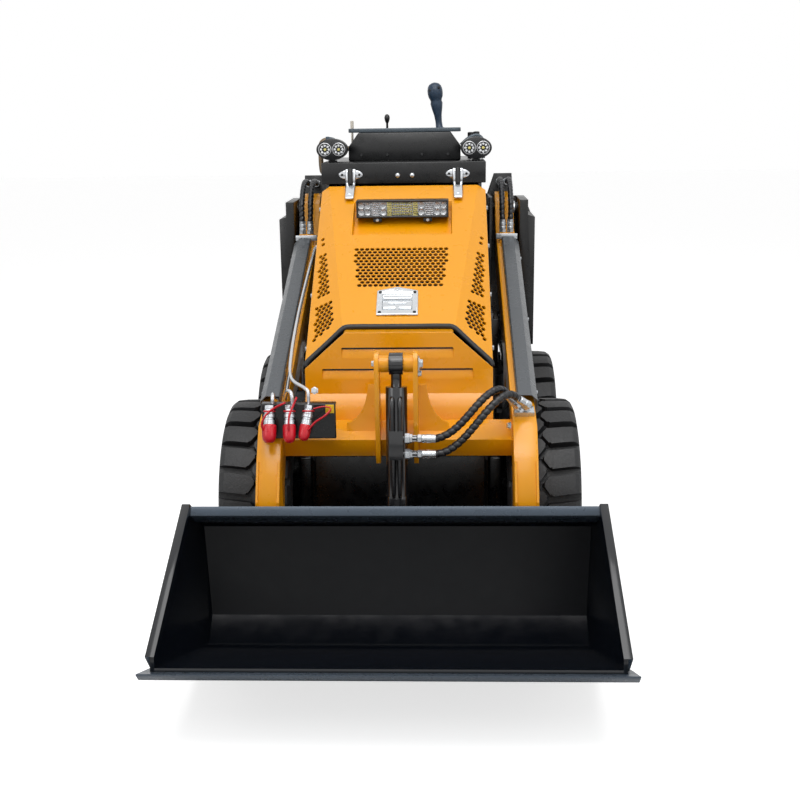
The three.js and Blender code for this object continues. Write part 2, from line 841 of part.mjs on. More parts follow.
function tubeSection(inset) {
  const corners = [
    [inset, inset - crossTubeHeight],
    [crossTubeDepth - inset, inset - crossTubeHeight],
    [crossTubeDepth - inset, -inset],
    [inset, -inset],
  ];
  return corners.map(([back, up]) => [
    crossTubeY + alongArm.x * back + offArm.x * up,
    crossTubeZ + alongArm.y * back + offArm.y * up,
  ]);
}

function crossTubeGeometry() {
  const half = armInner - seat;
  const outer = plateX(tubeSection(0), -half, half);
  const hollow = plateX(tubeSection(crossTubeWall), -half - 1, half + 1);
  const clevisOuter = clevisInner + clevisThickness;
  const clevisShape = [
    [tiltTopY - 33, tiltTopZ - 12],
    [tiltTopY - 33, tiltTopZ + 14],
    [tiltTopY - 18, tiltTopZ + 33],
    [tiltTopY + 18, tiltTopZ + 33],
    [tiltTopY + 35, tiltTopZ + 10],
    [tiltTopY + 60, 660],
    [tiltTopY + 92, 588],
    [tiltTopY + 92, 560],
    [-280, 484],
    [-312, 484],
    [-322, 510],
    [-326, 560],
    [-340, 640],
  ];
  const plates = [clevisInner, -clevisOuter].map((from) => (
    plateX(clevisShape, from, from + clevisThickness)
  ));
  const bosses = [1, -1].map((side) => {
    const near = side * (tiltEyeHalfWidth + 1.5);
    const far = side * (clevisInner + 1);
    return rodX(24, Math.min(near, far), Math.max(near, far), tiltTopY, tiltTopZ, 24);
  });
  const pin = rodX(tiltPinRadius, -clevisInner - 2, clevisInner + 2, tiltTopY, tiltTopZ);
  const gussets = [1, -1].map((side) => {
    const rim = new THREE.Shape();
    rim.moveTo(side * (clevisOuter - 1), 560);
    rim.lineTo(side * 145, 560);
    rim.lineTo(side * 145, 588);
    rim.quadraticCurveTo(side * 92, 600, side * 82, 700);
    rim.lineTo(side * (clevisOuter - 1), 700);
    const from = tiltTopY + 52;
    return plateY(rim, from, from + 10);
  });
  const solidMiddle = block(-clevisOuter, clevisOuter, -400, 0, 400, 700);
  return cut(join(outer, ...plates, ...bosses, pin, ...gussets), cut(hollow, solidMiddle));
}

piece("cross_tube", crossTubeGeometry(), yellowPaint);

// ---- Tilt cylinder: its barrel hangs on the clevis pin, its rod reaches the attachment plate --
const tiltRodPinY = legPinY + tiltRodPinFromLegPin.x;
const tiltRodPinZ = legPinZ + tiltRodPinFromLegPin.y;
const tiltLength = Math.hypot(tiltRodPinY - tiltTopY, tiltRodPinZ - tiltTopZ);
const tiltCylinder = new THREE.Group();
tiltCylinder.position.set(0, tiltTopY, tiltTopZ);
tiltCylinder.rotation.x = Math.asin((tiltRodPinY - tiltTopY) / tiltLength);
machine.add(tiltCylinder);

const down = (distance) => new THREE.Vector3(0, 0, -distance);

function tiltBarrelGeometry() {
  const body = join(
    rodX(tiltEyeRadius, -tiltEyeHalfWidth, tiltEyeHalfWidth, 0, 0),
    rodBetween(down(20), down(70), 15),
    rodBetween(down(64), down(tiltBarrelEnd - 30), tiltBarrelRadius, 24),
    rodBetween(down(tiltBarrelEnd - 32), down(tiltBarrelEnd), tiltBarrelRadius + 3, 24),
    block(-19, 19, -tiltBarrelRadius - 22, -tiltBarrelRadius + 6, -tiltPorts[1] - 15, -tiltPorts[0] + 22),
    ...tiltPorts.map((at) => rodX(9, 17, tiltPortReach, -tiltPortOffset, -at, 16)),
  );
  const eye = tiltEyeHalfWidth + 1;
  const bore = rodX(tiltPinRadius + pinClearance, -eye, eye, 0, 0);
  const closedEnd = down(tiltBarrelEnd - tiltRodInside - 8);
  const inside = rodBetween(closedEnd, down(tiltBarrelEnd + 1), tiltRodRadius + pinClearance);
  return cut(body, bore, inside);
}

function tiltRodGeometry() {
  const rod = rodBetween(down(tiltBarrelEnd - tiltRodInside), down(tiltLength - 10), tiltRodRadius);
  const eye = rodX(tiltRodEyeRadius, -tiltRodRadius - 1, tiltRodRadius + 1, 0, -tiltLength);
  return join(rod, eye);
}

piece("tilt_barrel", tiltBarrelGeometry(), blackPaint, tiltCylinder);
piece("tilt_rod", tiltRodGeometry(), chromeRod, tiltCylinder);

// ---- Lift cylinders: under each arm, from the tower's lower pin to the ears below the arm -----
const liftLength = Math.hypot(liftBaseY - liftArmPinY, liftBaseZ - liftArmPinZ);
const forward = (distance) => new THREE.Vector3(0, -distance, 0);

function liftBarrelGeometry() {
  const body = join(
    rodX(liftEyeRadius, -liftEyeHalfWidth, liftEyeHalfWidth, 0, 0),
    rodBetween(forward(26), forward(60), 20),
    rodBetween(forward(52), forward(liftBarrelEnd - 30), liftBarrelRadius, 20),
    rodBetween(forward(liftBarrelEnd - 32), forward(liftBarrelEnd), liftBarrelRadius + 2, 20),
  );
  const bore = rodX(liftPinRadius + pinClearance, -liftEyeHalfWidth - 1, liftEyeHalfWidth + 1, 0, 0);
  const closedEnd = forward(liftBarrelEnd - liftRodInside - 8);
  const inside = rodBetween(closedEnd, forward(liftBarrelEnd + 1), liftRodRadius + pinClearance);
  return cut(body, bore, inside);
}

function liftRodGeometry() {
  return join(
    rodBetween(forward(liftBarrelEnd - liftRodInside), forward(liftLength - 10), liftRodRadius),
    rodX(26, -liftEyeHalfWidth, liftEyeHalfWidth, -liftLength, 0),
  );
}

for (const [side, sign] of [["left", 1], ["right", -1]]) {
  const liftCylinder = new THREE.Group();
  liftCylinder.position.set(sign * liftCentre, liftBaseY, liftBaseZ);
  liftCylinder.rotation.x = Math.asin((liftBaseZ - liftArmPinZ) / liftLength);
  machine.add(liftCylinder);
  piece(`lift_barrel_${side}`, liftBarrelGeometry(), blackPaint, liftCylinder);
  piece(`lift_rod_${side}`, liftRodGeometry(), chromeRod, liftCylinder);
}

// ---- Auxiliary couplings on the right arm, and the hose block on the left one -----------------
function couplerGeometry() {
  const plate = block(-374, -168, -342, -336, 566, 666);
  const lugs = [-372, -346].map((from) => block(from, from + 14, -337, -311, 575, 584));
  const couplings = [[-355, 20], [-300, 19], [-246, 16]].map(([x, radius]) => {
    const start = new THREE.Vector3(x, -336, 630);
    const mid = new THREE.Vector3(x, -362, 592);
    const end = new THREE.Vector3(x, -378, 552);
    return [rodBetween(start, mid, radius - 5, 14), rodBetween(mid, end, radius, 14)];
  });
  return join(plate, ...lugs, ...couplings.flat());
}

piece("coupler_bracket", couplerGeometry(), blackPaint);

// The tilt hoses' routes, from the cylinder's ports to the fittings on the left arm's nose.
const upperRoute = [
  [127.9, -374, 580.7],
  [144.8, -372.2, 589],
  [160.8, -369.7, 600.2],
  [175.7, -366.6, 613.1],
  [189.8, -362.6, 627.2],
  [203.3, -357.9, 641.7],
  [216.4, -352.4, 655.9],
  [229.5, -345.9, 669.1],
  [242.6, -338.3, 680.6],
  [255.9, -329.5, 689.6],
  [268.9, -319.7, 695.1],
  [281.1, -308.8, 696.2],
  [292.1, -297.3, 692.6],
  [309, -274, 672],
];
const lowerRoute = [
  [132.3, -379.4, 537.5],
  [151.2, -378.3, 547.2],
  [168.7, -376.6, 560.1],
  [185.1, -374.3, 575.2],
  [200.5, -371.5, 591.5],
  [215.2, -367.9, 608.4],
  [229.7, -363.4, 625.3],
  [244.2, -357.9, 641.6],
  [258.9, -351, 656.6],
  [274, -342.5, 669.4],
  [289.2, -332.4, 678.7],
  [304, -320.7, 683.2],
  [317.6, -307.8, 681.9],
  [339, -281, 662],
];

// A block on the arm's nose, where the hoses' metal ends meet the lines under the cover.
const noseRun = new THREE.Vector2(elbow[0] - nose[0], elbow[1] - nose[1]).normalize();
const onNose = (along, off) => [
  nose[0] + noseRun.x * along + noseRun.y * off,
  nose[1] + noseRun.y * along - noseRun.x * off,
];
const upperFoot = new THREE.Vector3(344, ...onNose(26, 9));
const lowerFoot = new THREE.Vector3(372, ...onNose(26, 9));

function hoseBlockGeometry() {
  const section = [onNose(8, seat), onNose(44, seat), onNose(44, 14), onNose(8, 14)];
  const ferrules = [[upperRoute, upperFoot], [lowerRoute, lowerFoot]].map(([route, foot]) => {
    const end = new THREE.Vector3(...route.at(-1));
    const start = end.clone().add(foot.clone().sub(end).normalize().multiplyScalar(seat));
    return rodBetween(start, foot, 9);
  });
  return join(plateX(section, armInner + 5, armOuter - 5), ...ferrules);
}

piece("hose_block", hoseBlockGeometry(), plating);

// ---- Bucket and attachment plate, in the frame of the bucket: heel at the origin, floor forward ----
const bucket = new THREE.Group();
bucket.position.set(0, bucketHeelY, bucketHeelZ);
bucket.rotation.x = -bucketCurl;
machine.add(bucket);

const innerPath = [
  [-bucketLip.x, bucketLip.y],
  [-bucketBackTop.x, bucketBackTop.y],
  [-bucketBackBend.x, bucketBackBend.y],
  [-4, bucketSheet],
  [-bucketFloor, bucketSheet],
];

function bucketGeometry() {
  const half = bucketHalfWidth;
  const shell = plateX(bentSheet(innerPath, bucketSheet), -half - 1, half + 1);
  const rail = plateX(
    [
      [-bucketLip.x - 3, bucketLip.y - 6],
      [-bucketLip.x + 62, bucketLip.y - 22],
      [-bucketLip.x + 65, bucketLip.y + 2],
      [-bucketLip.x - 3, bucketLip.y + 18],
    ],
    -half - 1,
    half + 1,
  );
  const sideShape = [
    [-bucketFloor, 0],
    [0, 0],
    [-bucketBackBend.x + 7, bucketBackBend.y - 4],
    [-bucketBackTop.x + 7, bucketBackTop.y + 4],
    [-bucketLip.x + 60, bucketLip.y + 6],
    [-bucketLip.x - 14, bucketLip.y + 24],
    [-bucketFloor - 8, 34],
  ];
  const sides = [half, -half - bucketSide].map((from) => plateX(sideShape, from, from + bucketSide));
  const strips = [half + bucketSide - 1, -half - bucketSide - wearStrip + 1].map((from) => plateX(
    [
      [-bucketFloor + 50, 0],
      [-bucketFloor - 8, 34],
      [-bucketLip.x - 14, bucketLip.y + 24],
      [-bucketLip.x + 30, bucketLip.y + 14],
    ],
    from,
    from + wearStrip,
  ));
  return join(shell, rail, ...sides, ...strips);
}

piece("bucket_shell", bucketGeometry(), bucketPaint, bucket);
piece(
  "cutting_edge",
  plateX(
    [
      [-bucketFloor - cuttingEdgeReach, 0],
      [-bucketFloor - cuttingEdgeReach + 4, -cuttingEdgeThickness * 0.25 - seat],
      [-bucketFloor - 16, -cuttingEdgeThickness - seat],
      [-bucketFloor - cuttingEdgeReach + cuttingEdgeDepth, -cuttingEdgeThickness - seat],
      [-bucketFloor - cuttingEdgeReach + cuttingEdgeDepth, -seat],
      [-bucketFloor - seat, -seat],
      [-bucketFloor - seat - 14, 0],
    ],
    -cuttingEdgeHalfWidth,
    cuttingEdgeHalfWidth,
  ),
  bucketPaint,
  bucket,
);

// Places on the machine seen from the bucket's frame.
function inBucket(y, z) {
  const offset = new THREE.Vector2(y - bucketHeelY, z - bucketHeelZ);
  offset.rotateAround(new THREE.Vector2(0, 0), bucketCurl);
  return offset;
}

function attachmentGeometry() {
  const foot = new THREE.Vector2(-bucketBackBend.x, bucketBackBend.y);
  const head = new THREE.Vector2(-bucketBackTop.x, bucketBackTop.y);
  const up = head.clone().sub(foot).normalize();
  const out = new THREE.Vector2(up.y, -up.x);
  const at = (along, off) => [
    foot.x + up.x * along + out.x * off,
    foot.y + up.y * along + out.y * off,
  ];
  const near = bucketSheet + seat;
  const far = near + attachPlate;
  const plate = plateX([at(14, near), at(14, far), at(262, far), at(270, near)], -480, 480);
  const legPin = inBucket(legPinY, legPinZ);
  const rodPin = inBucket(tiltRodPinY, tiltRodPinZ);
  const earAround = (centre, radius, low, high) => {
    const shape = new THREE.Shape();
    shape.moveTo(...at(low, far - 2));
    shape.absarc(centre.x, centre.y, radius, -Math.PI * 0.45, Math.PI * 0.6, false);
    shape.lineTo(...at(high, far - 2));
    return shape;
  };
  const legEars = [-1, 1].flatMap((side) => {
    const inner = armInner - legEarClearance - legEarThickness;
    const outer = armOuter + legEarClearance;
    return [inner, outer].map((from) => (side > 0 ? from : -from - legEarThickness));
  });
  const legEar = earAround(legPin, 34, 14, 110);
  const ears = legEars.map((from) => plateX(legEar, from, from + legEarThickness));
  const pins = [-1, 1].map((side) => {
    const from = side > 0 ? armInner - 12 : -armOuter - 12;
    const to = side > 0 ? armOuter + 12 : -armInner + 12;
    return rodX(legPinRadius, from, to, legPin.x, legPin.y);
  });
  const rodEarThickness = 12;
  const rodEarInner = tiltRodRadius + 1 + eyeClearance;
  const rodEars = [rodEarInner, -rodEarInner - rodEarThickness].map((from) => (
    plateX(earAround(rodPin, 25, 120, 220), from, from + rodEarThickness)
  ));
  const windowSection = [at(66, near - 1), at(66, far + 1), at(150, far + 1), at(150, near - 1)];
  const window = plateX(windowSection, -rodEarInner, rodEarInner);
  return join(cut(plate, window), ...ears, ...pins, ...rodEars);
}

piece("attachment_plate", attachmentGeometry(), blackPaint, bucket);

// ---- Hoses ------------------------------------------------------------------------------------
const toMachine = (x, y, z) => {
  const point = new THREE.Vector3(x, y, z).applyEuler(tiltCylinder.rotation).add(tiltCylinder.position);
  return point.toArray();
};
// Each leaves its port straight, and meets its ferrule in line with it.
for (const [name, route, port, foot] of [
  ["tilt_hose_upper", upperRoute, tiltPorts[0], upperFoot],
  ["tilt_hose_lower", lowerRoute, tiltPorts[1], lowerFoot],
]) {
  const start = toMachine(tiltPortReach + seat, -tiltPortOffset, -port);
  const leaving = [start[0] + 18, start[1], start[2]];
  const end = new THREE.Vector3(...route.at(-1));
  const arriving = end.clone().sub(foot.clone().sub(end).normalize().multiplyScalar(14)).toArray();
  const points = [start, leaving, ...route.slice(0, -1), arriving, route.at(-1)];
  piece(name, tubeAlong(points, tiltHoseRadius, 8, 20), hoseRubber);
}

const hoseFootZ = armTop(coverRearY) + hoseLugHeight + seat;
for (const [side, sign] of [["left", 1], ["right", -1]]) {
  for (const [which, x] of [["inner", armInner + 20], ["outer", armOuter - 20]]) {
    const spread = which === "inner" ? -2 : 2;
    piece(
      `lift_hose_${which}_${side}`,
      tubeAlong(
        [
          [sign * x, coverRearY + 19, hoseFootZ],
          [sign * x, coverRearY + 19, hoseFootZ + 30],
          [sign * (x + spread), coverRearY + 26, 1100],
          [sign * (x + spread), coverRearY + 54, 1152],
          [sign * (x + spread), coverRearY + 100, 1186],
          [sign * (x + spread), coverRearY + 155, 1199],
          [sign * (x + spread), coverRearY + 215, 1195],
          [sign * x, coverRearY + 265, 1186],
          [sign * x, towerRearY - seat, 1186],
        ],
        liftHoseRadius,
        8,
        20,
      ),
      hoseRubber,
    );
  }
}

export default loader;
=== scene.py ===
# Stand-on skid steer loader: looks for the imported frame, in metres.
# Each section makes one piece or group of like pieces, in the order they are bolted on.
import math

import bpy
from mathutils import Matrix, Vector


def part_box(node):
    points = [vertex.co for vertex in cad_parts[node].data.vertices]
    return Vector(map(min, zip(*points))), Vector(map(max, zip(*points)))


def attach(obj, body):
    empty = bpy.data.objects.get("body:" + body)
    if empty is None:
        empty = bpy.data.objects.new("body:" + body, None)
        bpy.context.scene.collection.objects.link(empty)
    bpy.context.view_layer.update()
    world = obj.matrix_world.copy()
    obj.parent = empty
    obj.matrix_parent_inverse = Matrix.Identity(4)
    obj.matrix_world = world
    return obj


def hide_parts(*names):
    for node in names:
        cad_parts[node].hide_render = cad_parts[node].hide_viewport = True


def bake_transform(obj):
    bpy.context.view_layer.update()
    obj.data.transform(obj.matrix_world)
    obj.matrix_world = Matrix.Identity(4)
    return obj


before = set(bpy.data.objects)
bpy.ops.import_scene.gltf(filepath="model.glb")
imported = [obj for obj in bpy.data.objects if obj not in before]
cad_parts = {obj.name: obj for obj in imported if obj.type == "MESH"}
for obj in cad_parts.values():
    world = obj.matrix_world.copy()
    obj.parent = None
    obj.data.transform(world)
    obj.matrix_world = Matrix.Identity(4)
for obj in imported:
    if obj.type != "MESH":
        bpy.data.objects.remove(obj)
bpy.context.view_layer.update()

# ---- Camera ---------------------------------------------------------------------------------
# A view from the front and a little above, turned and rolled by a degree or two.
camera = bpy.data.objects.new("camera", bpy.data.cameras.new("camera"))
bpy.context.scene.collection.objects.link(camera)
camera.data.sensor_width = 36
camera.data.lens = 50.49
camera_turn, camera_dip, camera_roll = (math.radians(a) for a in (2.242, 14.398, -0.815))
looking = Vector((-math.sin(camera_turn) * math.cos(camera_dip),
                  math.cos(camera_turn) * math.cos(camera_dip), -math.sin(camera_dip)))
level = Vector((math.cos(camera_turn), math.sin(camera_turn), 0))
rise = level.cross(looking)
right = math.cos(camera_roll) * level + math.sin(camera_roll) * rise
up = -math.sin(camera_roll) * level + math.cos(camera_roll) * rise
camera.matrix_world = Matrix.LocRotScale(
    Vector((0.1277, -3.4607, 1.4442)), Matrix((right, up, -looking)).transposed(), None)
bpy.context.scene.camera = camera


# ---- Hydraulic hoses ------------------------------------------------------------------------
# Steel-braided rubber hoses in a spiral guard of black plastic, crimped into plated ferrules.
# Two feed the tilt cylinder from the left arm, and two on each side pass the arm's pivot.
def shade(red, green, blue):
    """A colour as it is mixed, from its 0 to 255 values."""
    return tuple((v / 255 / 12.92) if v < 11 else ((v / 255 + 0.055) / 1.055) ** 2.4
                 for v in (red, green, blue)) + (1.0,)


def finish(name, colour, rough, metal=0.0, coat=0.0, drift=0.08, relief=0.06, grain=420.0,
           patches=7.0, gloss_drift=0.07):
    """A finish whose colour and gloss drift slowly over the piece, with a fine grain in relief."""
    made = bpy.data.materials.new(name)
    made.use_nodes = True
    nodes, links = made.node_tree.nodes, made.node_tree.links
    shader = nodes["Principled BSDF"]
    shader.inputs["Metallic"].default_value = metal
    shader.inputs["Coat Weight"].default_value = coat
    shader.inputs["Coat Roughness"].default_value = 0.08
    place = nodes.new("ShaderNodeTexCoord")
    broad = nodes.new("ShaderNodeTexNoise")
    broad.inputs["Scale"].default_value = patches
    broad.inputs["Detail"].default_value = 5
    links.new(place.outputs["Object"], broad.inputs["Vector"])
    tone = nodes.new("ShaderNodeMix")
    tone.data_type = "RGBA"
    tone.inputs["A"].default_value = tuple(c * (1 - drift) for c in colour[:3]) + (1.0,)
    tone.inputs["B"].default_value = tuple(min(1, c * (1 + drift)) for c in colour[:3]) + (1.0,)
    links.new(broad.outputs["Fac"], tone.inputs["Factor"])
    links.new(tone.outputs["Result"], shader.inputs["Base Color"])
    polish = nodes.new("ShaderNodeTexNoise")
    polish.inputs["Scale"].default_value = patches * 6
    links.new(place.outputs["Object"], polish.inputs["Vector"])
    gloss = nodes.new("ShaderNodeMapRange")
    gloss.inputs["From Min"].default_value = 0.3
    gloss.inputs["From Max"].default_value = 0.7
    gloss.inputs["To Min"].default_value = max(0.03, rough - gloss_drift)
    gloss.inputs["To Max"].default_value = min(1, rough + gloss_drift)
    links.new(polish.outputs["Fac"], gloss.inputs["Value"])
    links.new(gloss.outputs["Result"], shader.inputs["Roughness"])
    texture = nodes.new("ShaderNodeTexNoise")
    texture.inputs["Scale"].default_value = grain
    texture.inputs["Detail"].default_value = 3
    links.new(place.outputs["Object"], texture.inputs["Vector"])
    bump = nodes.new("ShaderNodeBump")
    bump.inputs["Strength"].default_value = relief
    bump.inputs["Distance"].default_value = 0.002
    links.new(texture.outputs["Fac"], bump.inputs["Height"])
    links.new(bump.outputs["Normal"], shader.inputs["Normal"])
    return made


def smooth_route(route, step):
    """Points along the curve through the route, about a step apart."""
    points = [Vector(p) for p in route]
    points = [2 * points[0] - points[1]] + points + [2 * points[-1] - points[-2]]
    line = []
    for a, b, c, d in zip(points, points[1:], points[2:], points[3:]):
        ta = 0.0
        tb = ta + (b - a).length ** 0.5
        tc = tb + (c - b).length ** 0.5
        td = tc + (d - c).length ** 0.5
        steps = max(2, round((c - b).length / step))
        for k in range(steps):
            t = tb + (tc - tb) * k / steps
            ab = a * ((tb - t) / (tb - ta)) + b * ((t - ta) / (tb - ta))
            bc = b * ((tc - t) / (tc - tb)) + c * ((t - tb) / (tc - tb))
            cd = c * ((td - t) / (td - tc)) + d * ((t - tc) / (td - tc))
            abc = ab * ((tc - t) / (tc - ta)) + bc * ((t - ta) / (tc - ta))
            bcd = bc * ((td - t) / (td - tb)) + cd * ((t - tb) / (td - tb))
            line.append(abc * ((tc - t) / (tc - tb)) + bcd * ((t - tb) / (tc - tb)))
    return line + [points[-2]]


def swept(name, line, radius_at, sides, paint):
    """A closed tube along a line of points; radius_at gives its radius at a distance and angle."""
    corners, faces = [], []
    across = (line[1] - line[0]).orthogonal().normalized()
    gone = 0.0
    for k, point in enumerate(line):
        along = (line[min(k + 1, len(line) - 1)] - line[max(k - 1, 0)]).normalized()
        across = (across - along * across.dot(along)).normalized()
        other = along.cross(across)
        if k:
            gone += (point - line[k - 1]).length
        for s in range(sides):
            angle = 2 * math.pi * s / sides
            reach = radius_at(gone, angle)
            corners.append(point + reach * (math.cos(angle) * across + math.sin(angle) * other))
    for k in range(len(line) - 1):
        for s in range(sides):
            a, b = k * sides + s, k * sides + (s + 1) % sides
            faces.append((a, b, b + sides, a + sides))
    faces.append(tuple(reversed(range(sides))))
    faces.append(tuple(range(len(corners) - sides, len(corners))))
    mesh = bpy.data.meshes.new(name)
    mesh.from_pydata(corners, [], faces)
    for face in mesh.polygons:
        face.use_smooth = len(face.vertices) == 4
    mesh.materials.append(paint)
    made = bpy.data.objects.new(name, mesh)
    bpy.context.scene.collection.objects.link(made)
    return made


def choose(piece):
    """Only this piece is selected and active."""
    bpy.ops.object.select_all(action="DESELECT")
    piece.select_set(True)
    bpy.context.view_layer.objects.active = piece


def settle(piece, name, paint, smooth=35):
    """Names a piece, puts its place into its mesh, paints it and shades its rounds smooth."""
    piece.name = piece.data.name = name
    choose(piece)
    bpy.ops.object.transform_apply(location=True, rotation=True, scale=True)
    bpy.ops.object.shade_smooth_by_angle(angle=math.radians(smooth))
    piece.data.materials.clear()
    piece.data.materials.append(paint)
    return piece


def turned(name, start, axis, rings, paint, sides=24, smooth=35):
    """A turned piece: a disc at start, pulled along its axis and widened ring by ring."""
    axis = Vector(axis).normalized()
    start = Vector(start)
    bpy.ops.object.select_all(action="DESELECT")
    bpy.ops.mesh.primitive_circle_add(
        vertices=sides, radius=rings[0][1], fill_type="NGON", location=start + axis * rings[0][0],
        rotation=axis.to_track_quat("Z", "Y").to_euler())
    bpy.ops.object.mode_set(mode="EDIT")
    bpy.ops.mesh.select_all(action="SELECT")
    for (here, width), (there, next_width) in zip(rings, rings[1:]):
        bpy.ops.mesh.extrude_region_move(
            TRANSFORM_OT_translate={"value": axis * (there - here)})
        grow = next_width / width
        bpy.ops.transform.resize(value=(grow, grow, grow), center_override=start + axis * there)
    bpy.ops.mesh.select_all(action="SELECT")
    bpy.ops.mesh.normals_make_consistent(inside=False)
    bpy.ops.object.mode_set(mode="OBJECT")
    return settle(bpy.context.active_object, name, paint, smooth)


def kept(piece, body):
    """A finished piece rides on its body."""
    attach(piece, body)
    return piece


spiral_guard = finish("spiral_guard", shade(17, 18, 23), 0.34, relief=0.12, grain=300)
zinc_fitting = finish("zinc_fitting", shade(196, 200, 204), 0.27, metal=0.85, relief=0.05,
                      grain=240)
GUARD_PITCH, GUARD_SLOT, GUARD_BOW = 0.017, 0.0018, 0.0007
HALF_GAP = 0.0016


def guarded_hose(node, route, radius):
    """One hose in its spiral guard, in place of its plain tube."""
    line = smooth_route(route, 0.0025)

    def over_guard(gone, angle):
        turn = (gone / GUARD_PITCH - angle / (2 * math.pi)) % 1.0
        slot = min(turn, 1 - turn) * GUARD_PITCH
        bow = math.sin(math.pi * turn) * GUARD_BOW
        return radius - GUARD_BOW + bow - (GUARD_SLOT if slot < HALF_GAP else 0.0)

    hose = swept(node + "_guard", line, over_guard, 20, spiral_guard)
    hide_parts(node)
    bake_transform(hose)


def ferrule(name, foot, toward, body, nut, shell, long):
    """A plated hex nut and crimped shell at a hose's end."""
    toward = Vector(toward).normalized()
    hexagon = turned(name + "_nut", foot, toward,
                     [(0, nut), (0.001, nut * 1.12), (0.011, nut * 1.12), (0.012, nut)],
                     zinc_fitting, sides=6, smooth=20)
    crimp = turned(name + "_shell", Vector(foot) + toward * 0.012, toward,
                   [(0, shell * 0.8), (0.002, shell), (0.008, shell), (0.009, shell * 0.93),
                    (0.012, shell * 0.93), (0.013, shell), (long - 0.012, shell),
                    (long - 0.011, shell * 0.93), (long - 0.004, shell * 0.93), (long, shell)],
                   zinc_fitting)
    return [kept(part, body) for part in (hexagon, crimp)]


UPPER_TILT_ROUTE = [
    (0.0913, -0.50385, 0.5749), (0.1093, -0.50385, 0.5749), (0.1279, -0.50293, 0.5807),
    (0.1448, -0.50113, 0.589), (0.1608, -0.49863, 0.6002), (0.1757, -0.49553, 0.6131),
    (0.1898, -0.49153, 0.6272), (0.2033, -0.48683, 0.6417), (0.2164, -0.48133, 0.6559),
    (0.2295, -0.47483, 0.6691), (0.2426, -0.46723, 0.6806), (0.2559, -0.45843, 0.6896),
    (0.2689, -0.44863, 0.6951), (0.2811, -0.43773, 0.6962), (0.2921, -0.42623, 0.6926),
    (0.30218, -0.40906, 0.68257), (0.309, -0.40293, 0.672)]
LOWER_TILT_ROUTE = [
    (0.0913, -0.50877, 0.53218), (0.1093, -0.50877, 0.53218), (0.1323, -0.50833, 0.5375),
    (0.1512, -0.50723, 0.5472), (0.1687, -0.50553, 0.5601), (0.1851, -0.50323, 0.5752),
    (0.2005, -0.50043, 0.5915), (0.2152, -0.49683, 0.6084), (0.2297, -0.49233, 0.6253),
    (0.2442, -0.48683, 0.6416), (0.2589, -0.47993, 0.6566), (0.274, -0.47143, 0.6694),
    (0.2892, -0.46133, 0.6787), (0.304, -0.44963, 0.6832), (0.3176, -0.43673, 0.6819),
    (0.33214, -0.41793, 0.67121), (0.339, -0.40993, 0.662)]


FRONT_AXLE_Y = -0.128927


def at(x, y, z):
    """A point in millimetres from the ground below the front axle's middle, in the frame."""
    return Vector((x / 1000, y / 1000 + FRONT_AXLE_Y, z / 1000))


for tilt_node, tilt_route, tilt_foot in (
        ("tilt_hose_upper", UPPER_TILT_ROUTE, at(344, -263, 637)),
        ("tilt_hose_lower", LOWER_TILT_ROUTE, at(372, -263, 637))):
    _, port_y, port_z = tilt_route[0]
    port_ends = ferrule(tilt_node + "_port", (0.058, port_y, port_z), (1, 0, 0), "tilt_barrel",
                        nut=0.0104, shell=0.0122, long=0.038)
    port_nut = turned(tilt_node + "_swivel", (0.022, port_y, port_z), (1, 0, 0),
                      [(0, 0.009), (0.001, 0.0135), (0.003, 0.0148), (0.015, 0.0148),
                       (0.016, 0.0125), (0.022, 0.0125), (0.0225, 0.0098), (0.034, 0.0098)],
                      zinc_fitting, sides=6, smooth=20)
    kept(port_nut, "tilt_barrel")
    tilt_end = Vector(tilt_route[-1])
    arm_ends = ferrule(tilt_node + "_arm", tilt_foot, tilt_end - tilt_foot, "arms",
                       nut=0.0112, shell=0.0118, long=(tilt_end - tilt_foot).length - 0.006)
    guarded_hose(tilt_node, tilt_route, 0.011)
for lift_side, sign in (("left", 1), ("right", -1)):
    for rank, at_ends, between in (("inner", 0.345, 0.343), ("outer", 0.372, 0.374)):
        lift_route = [
            (at_ends, 0.59007, 1.0223), (at_ends, 0.59007, 1.0523), (between, 0.59707, 1.1),
            (between, 0.60457, 1.128), (between, 0.62507, 1.152), (between, 0.64557, 1.1712),
            (between, 0.67107, 1.186), (between, 0.69757, 1.1954), (between, 0.72607, 1.199),
            (between, 0.75607, 1.1985), (between, 0.78607, 1.195), (between, 0.81107, 1.1896),
            (at_ends, 0.83607, 1.186), (at_ends, 0.85307, 1.186), (at_ends, 0.87077, 1.186)]
        lift_route = [(sign * x, y, z) for x, y, z in lift_route]
        lift_node = f"lift_hose_{rank}_{lift_side}"
        foot_ends = ferrule(lift_node + "_foot", lift_route[0], (0, 0, 1), "arms",
                            nut=0.0115, shell=0.0118, long=0.034)
        wall_ends = ferrule(lift_node + "_wall", lift_route[-1], (0, -1, 0), "chassis",
                            nut=0.0115, shell=0.0118, long=0.034)
        guarded_hose(lift_node, lift_route, 0.010)


# ---- Chassis ----------------------------------------------------------------------------------
# Two laser-cut side plates with a belly pan and front plate welded between them, powder coated
# black. Every plate edge is broken by a small round before painting.
satin_black = finish("satin_black_powder_coat", shade(8, 9, 11), 0.3, drift=0.1, relief=0.03)
machine_yellow = finish("machine_yellow_gloss", shade(240, 160, 0), 0.3, coat=0.2, drift=0.03,
                        relief=0.035, grain=260, patches=4, gloss_drift=0.04)
cast_grey = finish("cast_engine_grey", shade(92, 95, 98), 0.5, metal=0.5, relief=0.25, grain=500)


